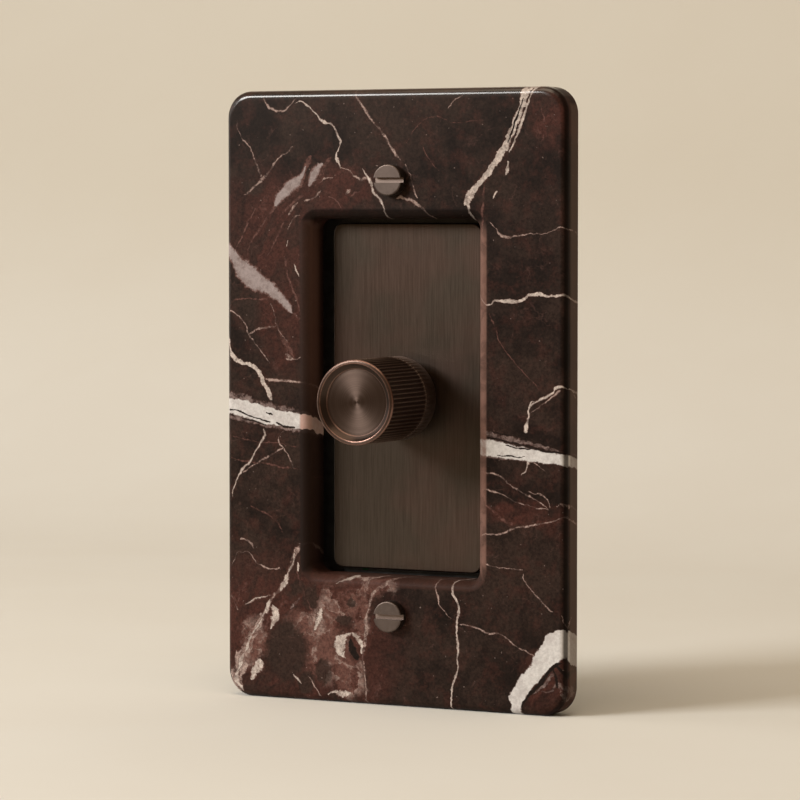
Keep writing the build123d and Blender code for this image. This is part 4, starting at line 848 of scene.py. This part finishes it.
def turned_bronze(settings):
    """Aged bronze as it comes off a lathe: ring marks, rubbed crests lighter than the flutes, copper on worn
    edges and painted shade in the dish.
    """
    metal = Finish("turned bronze")
    parts = metal.add("ShaderNodeSeparateXYZ", Vector=metal.point).outputs
    radius = metal.vector("LENGTH", metal.joined(X=parts["X"], Z=parts["Z"]))
    rings = metal.noise(7.0, 3.0, 0.7, metal.joined(X=radius, Y=parts["Y"]))
    tone = metal.mix(metal.span(rings, 0.3, 0.7), shaded(settings.bronze, 0.7), settings.bronze)
    wear = metal.attribute("wear")
    rub = metal.noise(1.6, 4.0, 0.7)
    tone = metal.mix(metal.times(wear, metal.span(rub, 0.3, 0.55, 0.35, 1.0)), tone, settings.worn)
    crest = metal.attribute("crest")
    tone = metal.mix(metal.times(crest, metal.span(rub, 0.3, 0.6, 0.5, 1.0)), tone, settings.crest)
    # Painted shade on the dish's slope between its floor and the lip
    dish_shade = metal.attribute("dish_shade")
    tone = metal.mix(metal.times(dish_shade, 0.5), tone, shaded(settings.bronze, 0.2))
    rough = metal.plus(metal.span(rings, 0.25, 0.75, 0.3, 0.42), metal.times(crest, 0.12))
    ridges = metal.bump(rings, 0.004 * MM)
    outward = metal.joined(X=parts["X"], Y=radius, Z=parts["Z"])
    to_world = {"vector_type": "VECTOR", "convert_from": "OBJECT", "convert_to": "WORLD"}
    across = metal.add("ShaderNodeVectorTransform", to_world, Vector=outward).outputs[0]
    return metal.finish(
        Base_Color=tone, Metallic=1.0, Roughness=rough, Normal=ridges, Anisotropic=0.7, Tangent=across)


def plain_metal(name, colour, roughness):
    """Plated or turned metal with fine scratches and slight staining."""
    metal = Finish(name)
    scratches = metal.noise(3.0, 5.0, 0.75, metal.stretch((1, 1, 6)))
    stains = metal.noise(0.3, 4.0, 0.6)
    tone = metal.mix(metal.span(stains, 0.35, 0.7), colour, shaded(colour, 0.7))
    rough = metal.span(scratches, 0.3, 0.7, roughness - 0.07, roughness + 0.1)
    ridges = metal.bump(scratches, 0.004 * MM)
    return metal.finish(Base_Color=tone, Metallic=1.0, Roughness=rough, Normal=ridges)


def slotted_bronze(settings):
    """Bronzed screw steel, scraped bright in the driver's slot."""
    metal = Finish("bronzed steel")
    scratches = metal.noise(5.0, 5.0, 0.75, metal.stretch((1, 1, 6)))
    stains = metal.noise(0.3, 4.0, 0.6)
    tone = metal.mix(metal.span(stains, 0.35, 0.7), settings.screw, shaded(settings.screw, 0.8))
    scraped = metal.times(metal.attribute("scraped"), metal.span(scratches, 0.3, 0.7, 0.6, 1.0))
    tone = metal.mix(scraped, tone, shaded(settings.screw, 2.3))
    rough = metal.span(scratches, 0.3, 0.7, 0.36, 0.52)
    ridges = metal.bump(scratches, 0.004 * MM)
    return metal.finish(Base_Color=tone, Metallic=1.0, Roughness=rough, Normal=ridges)


def moulded(name, colour, roughness):
    """Moulded plastic or resin with a fine sparked texture and slight flow marks."""
    resin = Finish(name)
    spark = resin.noise(2.5, 3.0, 0.6)
    flow = resin.noise(0.12, 3.0, 0.5, distortion=1.0)
    tone = resin.mix(resin.span(flow, 0.35, 0.65), colour, shaded(colour, 0.8))
    rough = resin.span(spark, 0.3, 0.7, roughness - 0.06, roughness + 0.08)
    return resin.finish(Base_Color=tone, Roughness=rough, Normal=resin.bump(spark, 0.02 * MM))


def begin_piece(name):
    """Start an empty mesh at the origin, in edit mode, with nothing else selected."""
    bpy.ops.object.select_all(action="DESELECT")
    bpy.ops.object.add(type="MESH", location=(0, 0, 0))
    piece = bpy.context.object
    piece.name = name
    piece.data.name = name
    bpy.ops.object.mode_set(mode="EDIT")
    return piece


def end_piece(piece, material, node, body, smooth=35):
    """Close a piece: outward normals, smooth shading, its finish, its body and the node it stands for."""
    bpy.ops.object.mode_set(mode="EDIT")
    bpy.ops.mesh.select_all(action="SELECT")
    bpy.ops.mesh.remove_doubles(threshold=0.001 * MM)
    bpy.ops.mesh.normals_make_consistent(inside=False)
    bpy.ops.object.mode_set(mode="OBJECT")
    if not piece.data.polygons:
        raise RuntimeError(f"{piece.name} has no faces")
    bpy.ops.object.shade_smooth_by_angle(angle=math.radians(smooth))
    shading = piece.modifiers.new("even shading", "WEIGHTED_NORMAL")
    shading.keep_sharp = True
    bpy.ops.object.modifier_apply(modifier=shading.name)
    piece.data.materials.append(material)
    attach(piece, body)
    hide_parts(node)


def choose(kind, test):
    """In edit mode, select just the vertices or edges that pass a test."""
    bpy.ops.mesh.select_mode(type=kind)
    bpy.ops.mesh.select_all(action="DESELECT")
    mesh = bmesh.from_edit_mesh(bpy.context.object.data)
    for item in {"VERT": mesh.verts, "EDGE": mesh.edges}[kind]:
        if test(item):
            item.select_set(True)
    mesh.select_flush_mode()
    bmesh.update_edit_mesh(bpy.context.object.data)


def near(value, target):
    return abs(value - target) < 0.01 * MM


def rounded_outline(width, height, radius, depth, segments):
    """Draw a rounded rectangle of edges that faces the room."""
    bpy.ops.mesh.primitive_plane_add(size=1, location=(0, depth, 0), rotation=FACING)
    bpy.ops.transform.resize(value=(width, 1, height), center_override=(0, depth, 0))
    bpy.ops.mesh.bevel(offset=radius, segments=segments, affect="VERTICES")
    bpy.ops.mesh.select_linked()
    bpy.ops.mesh.delete(type="ONLY_FACE")


def thicken(depth):
    """Extrude the drawn face backwards and turn all faces outwards."""
    bpy.ops.mesh.extrude_region_move(TRANSFORM_OT_translate={"value": (0, depth, 0)})
    bpy.ops.mesh.select_all(action="SELECT")
    bpy.ops.mesh.normals_make_consistent(inside=False)


def round_edges(test, size, segments):
    """Round or chamfer the edges that pass a test."""
    choose("EDGE", test)
    bpy.ops.mesh.bevel(offset=size, segments=segments, profile=0.5, affect="EDGES")


def turn_profile(profile, segments, middle=(0, 0)):
    """Turn (radius, depth) points round an axis along Y, ring by ring, from a flat start to a flat end."""
    x, z = middle
    radius, depth = profile[0]
    start = (x, depth, z)
    bpy.ops.mesh.primitive_circle_add(vertices=segments, radius=radius, location=start, rotation=FACING)
    bpy.ops.mesh.edge_face_add()
    bpy.ops.mesh.select_mode(type="EDGE")
    for next_radius, next_depth in profile[1:]:
        bpy.ops.mesh.extrude_edges_move(TRANSFORM_OT_translate={"value": (0, next_depth - depth, 0)})
        share = next_radius / radius
        bpy.ops.transform.resize(value=(share, 1, share), center_override=(x, next_depth, z))
        radius = next_radius
        depth = next_depth
    bpy.ops.mesh.edge_face_add()


def combine(piece, other, operation="DIFFERENCE"):
    """Cut one object out of another, or fuse it on, and delete it."""
    bpy.ops.object.select_all(action="DESELECT")
    bpy.context.view_layer.objects.active = piece
    piece.select_set(True)
    cut = piece.modifiers.new("cut", "BOOLEAN")
    cut.operation = operation
    cut.solver = "EXACT"
    cut.object = other
    bpy.ops.object.modifier_apply(modifier=cut.name)
    bpy.data.objects.remove(other, do_unlink=True)


def combine_box(piece, size, place, operation="DIFFERENCE"):
    """Cut a box out of a piece, or fuse it on."""
    bpy.ops.object.select_all(action="DESELECT")
    bpy.ops.mesh.primitive_cube_add(size=1)
    box = bpy.context.object
    box.scale = size
    box.location = place
    bpy.ops.object.transform_apply()
    combine(piece, box, operation)


def drill(piece, width, depth, place, turn, sides):
    """Drill a round hole into a piece."""
    bpy.ops.mesh.primitive_cylinder_add(
        vertices=sides, radius=width / 2, depth=depth, location=place, rotation=turn)
    combine(piece, bpy.context.object)


class DIMMER_OT_cover_plate(bpy.types.Operator):
    """Model the marble plate with its rounded window, screw holes and strap recesses"""

    bl_idname = "dimmer.cover_plate"
    bl_label = "Cover Plate"

    def execute(self, context):
        stone = context.scene.dimmer_stone
        front = PLATE_LOW.y
        back = PLATE_HIGH.y
        piece = begin_piece("marble_plate")
        rounded_outline(PLATE_SIZE.x, PLATE_SIZE.z, stone.corner_radius, front, 14)
        rounded_outline(stone.window_width, stone.window_height, stone.window_radius, front, 14)
        bpy.ops.mesh.select_all(action="SELECT")
        bpy.ops.mesh.bridge_edge_loops()
        bpy.ops.mesh.select_all(action="SELECT")
        thicken(back - front)

        def in_window(place):
            slack = 0.1 * MM
            beside = abs(place.x) < stone.window_width / 2 + slack
            return beside and abs(place.z) < stone.window_height / 2 + slack

        def rim(depth, outer):
            def test(edge):
                places = [v.co for v in edge.verts]
                if not all(near(p.y, depth) for p in places):
                    return False
                inside = [in_window(p) for p in places]
                return not any(inside) if outer else all(inside)
            return test

        round_edges(rim(front, True), stone.edge_round, 8)
        round_edges(rim(front, False), stone.window_round, 8)
        round_edges(rim(back, True), stone.back_chamfer, 2)
        bpy.ops.object.mode_set(mode="OBJECT")

        _, strap_high, strap_size = box_sizes("mounting_strap")
        top = strap_high.z + POCKET_GAP
        pocket = (strap_size.x + 2 * POCKET_GAP, 2 * stone.pocket_depth, top - POCKET_START)
        for side in (-1, 1):
            combine_box(piece, pocket, (0, back, side * (top + POCKET_START) / 2))
            drill(piece, SCREW_HOLE, 4 * PLATE_SIZE.y, (0, 0, side * SCREW_PITCH / 2), FACING, 48)
        end_piece(piece, marble(stone), "cover_plate", "base")
        return {"FINISHED"}


class DIMMER_OT_insert_plate(bpy.types.Operator):
    """Model the brushed bronze insert behind the window"""

    bl_idname = "dimmer.insert_plate"
    bl_label = "Insert Plate"

    def execute(self, context):
        bronze = context.scene.dimmer_bronze
        front = INSERT_LOW.y
        piece = begin_piece("bronze_insert")
        rounded_outline(INSERT_SIZE.x, INSERT_SIZE.z, bronze.insert_radius, front, 10)
        bpy.ops.mesh.select_all(action="SELECT")
        bpy.ops.mesh.edge_face_add()
        thicken(bronze.insert_thickness)
        round_edges(lambda edge: all(near(v.co.y, front) for v in edge.verts), INSERT_CHAMFER, 3)
        bpy.ops.object.mode_set(mode="OBJECT")
        drill(piece, BUSHING_HOLE, 10 * bronze.insert_thickness, (0, 0, 0), FACING, 64)
        for side in (-1, 1):
            combine_box(piece, TAB_SIZE, (0, INSERT_HIGH.y - TAB_SIZE.y / 2, side * TAB_PLACE), "UNION")
        end_piece(piece, brushed_bronze(bronze), "insert_plate", "base")
        return {"FINISHED"}


class DIMMER_OT_knob(bpy.types.Operator):
    """Turn the fluted knob with its dished face and hollow back"""

    bl_idname = "dimmer.knob"
    bl_label = "Knob"

    def execute(self, context):
        bronze = context.scene.dimmer_bronze
        rim = KNOB_LOW.y
        back = KNOB_HIGH.y
        radius = KNOB_SIZE.x / 2
        flute_from = rim + FLUTE_START
        flute_to = rim + FLUTE_END
        hollow_floor = back - HOLLOW_DEPTH
        profile = [(bronze.dish_radius + out * MM, rim + down * MM) for out, down in KNOB_DISH]
        profile += [(radius - inset * MM, rim + down * MM) for inset, down in KNOB_LIP]
        profile += [(radius, flute_from), (radius, flute_from + 0.12 * MM)]
        profile += [(radius, flute_to - 0.3 * MM), (radius, flute_to)]
        profile += [(radius - inset * MM, back - up * MM) for inset, up in KNOB_HEEL]
        profile += [(HOLLOW_RADIUS, back), (HOLLOW_RADIUS, hollow_floor)]
        profile += [(BORE_RADIUS, hollow_floor), (BORE_RADIUS, rim + BORE_END)]
        piece = begin_piece("bronze_knob")
        turn_profile(profile, bronze.rib_count * FLUTE_STEPS)
        self.cut_flutes(bronze, radius, flute_from, flute_to)
        bpy.ops.object.mode_set(mode="OBJECT")
        drill(piece, bronze.grub_hole, radius, (0, bronze.grub_place, -radius / 2 - 0.5 * MM), (0, 0, 0), 48)
        end_piece(piece, turned_bronze(bronze), "knob", "knob", smooth=50)

        wear = piece.data.attributes.new("wear", "FLOAT", "FACE")
        crest = piece.data.attributes.new("crest", "FLOAT", "FACE")
        dish_shade = piece.data.attributes.new("dish_shade", "FLOAT", "FACE")
        lip = radius - 0.8 * MM
        for face in piece.data.polygons:
            distance = math.hypot(face.center.x, face.center.z)
            depth = face.center.y - rim
            on_lip = depth < 0.4 * MM and distance > lip
            lip_edge = distance > radius - 0.16 * MM or distance < radius - 0.62 * MM
            in_dish = depth < 1.2 * MM and bronze.dish_radius < distance < lip
            disc_edge = in_dish and distance < bronze.dish_radius + 0.2 * MM
            on_crest = flute_from < face.center.y < flute_to and distance > radius - 0.4 * bronze.flute_depth
            bare = 1.0 if lip_edge else 0.1
            wear.data[face.index].value = bare if on_lip else 0.5 if disc_edge else 0.0
            crest.data[face.index].value = 1.0 if on_crest else 0.0
            # Painted shade: the dish's slope, outside its worn edge, is marked to be darkened
            dish_shade.data[face.index].value = 1.0 if in_dish and not disc_edge else 0.0
        return {"FINISHED"}

    def cut_flutes(self, bronze, radius, flute_from, flute_to):
        """Press the flutes between the ribs into the knob's side."""
        step = 2 * math.pi / (bronze.rib_count * FLUTE_STEPS)
        slack = 0.05 * MM
        for place in range(1, FLUTE_STEPS):
            dip = bronze.flute_depth * math.sin(math.pi * place / FLUTE_STEPS) ** 1.2

            def in_flute(vert, place=place):
                on_side = near(math.hypot(vert.co.x, vert.co.z), radius)
                if not on_side or not flute_from + slack < vert.co.y < flute_to - slack:
                    return False
                return round(math.atan2(vert.co.z, vert.co.x) / step) % FLUTE_STEPS == place

            choose("VERT", in_flute)
            share = (radius - dip) / radius
            bpy.ops.transform.resize(value=(share, 1, share), center_override=(0, 0, 0))


class DIMMER_OT_cover_screws(bpy.types.Operator):
    """Turn the two slotted screws, with their threads behind the plate"""

    bl_idname = "dimmer.cover_screws"
    bl_label = "Cover Screws"

    def execute(self, context):
        bronze = context.scene.dimmer_bronze
        top = SCREW_LOW.y
        seat = top + bronze.head_height
        tip = SCREW_HIGH.y
        radius = SCREW_SIZE.x / 2
        profile = [(radius - inset * MM, top + down * MM) for inset, down in SCREW_CROWN]
        profile += [(radius, seat), (SHANK_RADIUS, seat), (SHANK_RADIUS, 0)]
        turns = int((tip - 1.0 * MM) / THREAD_PITCH)
        for count in range(turns):
            profile += [(out * MM, count * THREAD_PITCH + down * MM) for out, down in THREAD_RIDGE]
        profile += [(THREAD_ROOT, turns * THREAD_PITCH), (TIP_RADIUS, tip)]
        piece = begin_piece("slotted_screws")
        for side in (-1, 1):
            turn_profile(profile, 64, (0, side * SCREW_PITCH / 2))
        bpy.ops.object.mode_set(mode="OBJECT")
        slot = (4 * radius, 2 * bronze.slot_depth, bronze.slot_width)
        for side in (-1, 1):
            combine_box(piece, slot, (0, top, side * SCREW_PITCH / 2))
        end_piece(piece, slotted_bronze(bronze), "cover_screws", "base")
        scraped = piece.data.attributes.new("scraped", "FLOAT", "FACE")
        for face in piece.data.polygons:
            in_slot = near(face.center.y, top + bronze.slot_depth) and face.normal.y < -0.9
            scraped.data[face.index].value = 1.0 if in_slot else 0.0
        return {"FINISHED"}


class DIMMER_OT_hardware(bpy.types.Operator):
    """Finish the pieces behind the plate"""

    bl_idname = "dimmer.hardware"
    bl_label = "Hardware"

    def execute(self, context):
        finishes = {
            "zinc_steel": plain_metal("black zinc", (0.07, 0.068, 0.066, 1), 0.36),
            "turned_brass": plain_metal("turned brass", (0.80, 0.58, 0.28, 1), 0.26),
            "earth_green": plain_metal("green passivate", (0.03, 0.085, 0.04, 1), 0.4),
            "case_black": moulded("black thermoset", (0.022, 0.022, 0.024, 1), 0.42),
            "control_black": moulded("black epoxy", (0.03, 0.03, 0.03, 1), 0.5),
            "nylon_white": moulded("white nylon", (0.78, 0.77, 0.72, 1), 0.4),
            "contact_bronze": plain_metal("phosphor bronze", (0.72, 0.44, 0.25, 1), 0.3),
            "board_green": moulded("glass epoxy", (0.05, 0.20, 0.08, 1), 0.35),
            "spreader_aluminium": plain_metal("milled aluminium", (0.78, 0.79, 0.80, 1), 0.35),
            "ferrite_grey": moulded("ferrite", (0.06, 0.06, 0.065, 1), 0.6),
            "winding_copper": plain_metal("enamelled copper", (0.65, 0.26, 0.10, 1), 0.25),
            "film_yellow": moulded("yellow epoxy", (0.70, 0.48, 0.06, 1), 0.3),
            "sleeve_blue": moulded("blue sleeve", (0.04, 0.08, 0.25, 1), 0.3),
            "fuse_brown": moulded("brown resin", (0.14, 0.07, 0.04, 1), 0.35),
        }
        for part in frame["record"]["subparts"]:
            finish = finishes.get(part["material_slot"])
            if finish:
                node = frame["nodes"][part["node"]]
                node.data.materials.clear()
                node.data.materials.append(finish)
        return {"FINISHED"}


class DIMMER_OT_stage(bpy.types.Operator):
    """Set the floor and backdrop, the lamps and the camera"""

    bl_idname = "dimmer.stage"
    bl_label = "Stage"

    def execute(self, context):
        stage = context.scene.dimmer_stage
        ground = CAD_BOX[0][2]
        middle = (0, PAPER_MIDDLE, ground)
        floor = begin_piece("backdrop")
        bpy.ops.mesh.primitive_plane_add(size=1, location=middle)
        bpy.ops.transform.resize(value=(PAPER_WIDTH, PAPER_NEAR, 1), center_override=middle)
        choose("EDGE", lambda edge: all(v.co.y > 0 for v in edge.verts))
        bpy.ops.mesh.extrude_edges_move(TRANSFORM_OT_translate={"value": (0, PAPER_FAR, 0)})
        bpy.ops.mesh.extrude_edges_move(TRANSFORM_OT_translate={"value": (0, 0, PAPER_RISE)})

        def is_fold(edge):
            return all(v.co.y > PAPER_FAR and near(v.co.z, ground) for v in edge.verts)

        round_edges(is_fold, PAPER_SWEEP, 24)
        bpy.ops.object.mode_set(mode="OBJECT")
        bpy.ops.object.shade_smooth()
        floor.data.materials.append(self.paper(stage, ground / MM))

        world = context.scene.world or bpy.data.worlds.new("studio")
        context.scene.world = world
        world.use_nodes = True
        sky = world.node_tree.nodes["Background"]
        sky.inputs["Color"].default_value = stage.sky
        sky.inputs["Strength"].default_value = stage.sky_strength
        for name, values in LAMPS.items():
            self.lamp(context, name, *values)

        bpy.ops.object.camera_add(
            location=stage.camera_place, rotation=(math.pi / 2 - stage.camera_tilt, 0, stage.camera_turn))
        camera = context.object
        camera.data.sensor_width = 36
        camera.data.lens = stage.lens
        context.scene.camera = camera
        context.scene.view_settings.view_transform = "Standard"
        return {"FINISHED"}

    def paper(self, stage, low):
        """Matt paper, paler under the switch than behind it."""
        paper = Finish("paper backdrop")
        height = paper.add("ShaderNodeSeparateXYZ", Vector=paper.point).outputs["Z"]
        tone = paper.mix(paper.span(height, low, low + 120), stage.floor, stage.backdrop)
        flecks = paper.noise(0.02, 3.0, 0.5)
        tone = paper.mix(paper.span(flecks, 0.3, 0.7, 0.0, 0.05), tone, stage.fibre)
        paper.see_through_from_behind()
        return paper.finish(Base_Color=tone, Roughness=0.9, Specular_IOR_Level=0.1)

    def lamp(self, context, name, left, up, distance, width, height, power, colour):
        """Hang a soft lamp that faces the switch, at so many degrees to the left of it and above it."""
        turn = math.radians(left)
        rise = math.radians(up)
        toward = Vector((-math.sin(turn) * math.cos(rise), -math.cos(turn) * math.cos(rise), math.sin(rise)))
        place = toward * distance
        bpy.ops.object.light_add(type="AREA", location=place)
        lamp = context.object
        lamp.name = name
        lamp.rotation_euler = (-place).to_track_quat("-Z", "Y").to_euler()
        lamp.data.shape = "RECTANGLE"
        lamp.data.size = width
        lamp.data.size_y = height
        lamp.data.energy = power
        lamp.data.color = colour


class DIMMER_PT_panel(bpy.types.Panel):
    """Lists the steps that dress the switch"""

    bl_idname = "DIMMER_PT_panel"
    bl_label = "Stone Dimmer Switch"
    bl_space_type = "VIEW_3D"
    bl_region_type = "UI"
    bl_category = "Dimmer"

    def draw(self, context):
        for operator in OPERATORS:
            self.layout.operator(operator.bl_idname)


OPERATORS = (
    DIMMER_OT_cover_plate,
    DIMMER_OT_insert_plate,
    DIMMER_OT_knob,
    DIMMER_OT_cover_screws,
    DIMMER_OT_hardware,
    DIMMER_OT_stage,
)
SETTINGS = {
    "dimmer_stone": StoneSettings,
    "dimmer_bronze": BronzeSettings,
    "dimmer_stage": StageSettings,
}


def register():
    for name, settings in SETTINGS.items():
        bpy.utils.register_class(settings)
        setattr(bpy.types.Scene, name, PointerProperty(type=settings))
    for kind in OPERATORS + (DIMMER_PT_panel,):
        bpy.utils.register_class(kind)


def unregister():
    for kind in reversed(OPERATORS + (DIMMER_PT_panel,)):
        bpy.utils.unregister_class(kind)
    for name, settings in SETTINGS.items():
        delattr(bpy.types.Scene, name)
        bpy.utils.unregister_class(settings)


def main():
    register()
    bpy.ops.dimmer.cover_plate()
    bpy.ops.dimmer.insert_plate()
    bpy.ops.dimmer.knob()
    bpy.ops.dimmer.cover_screws()
    bpy.ops.dimmer.hardware()
    bpy.ops.dimmer.stage()


if __name__ == "__main__":
    main()
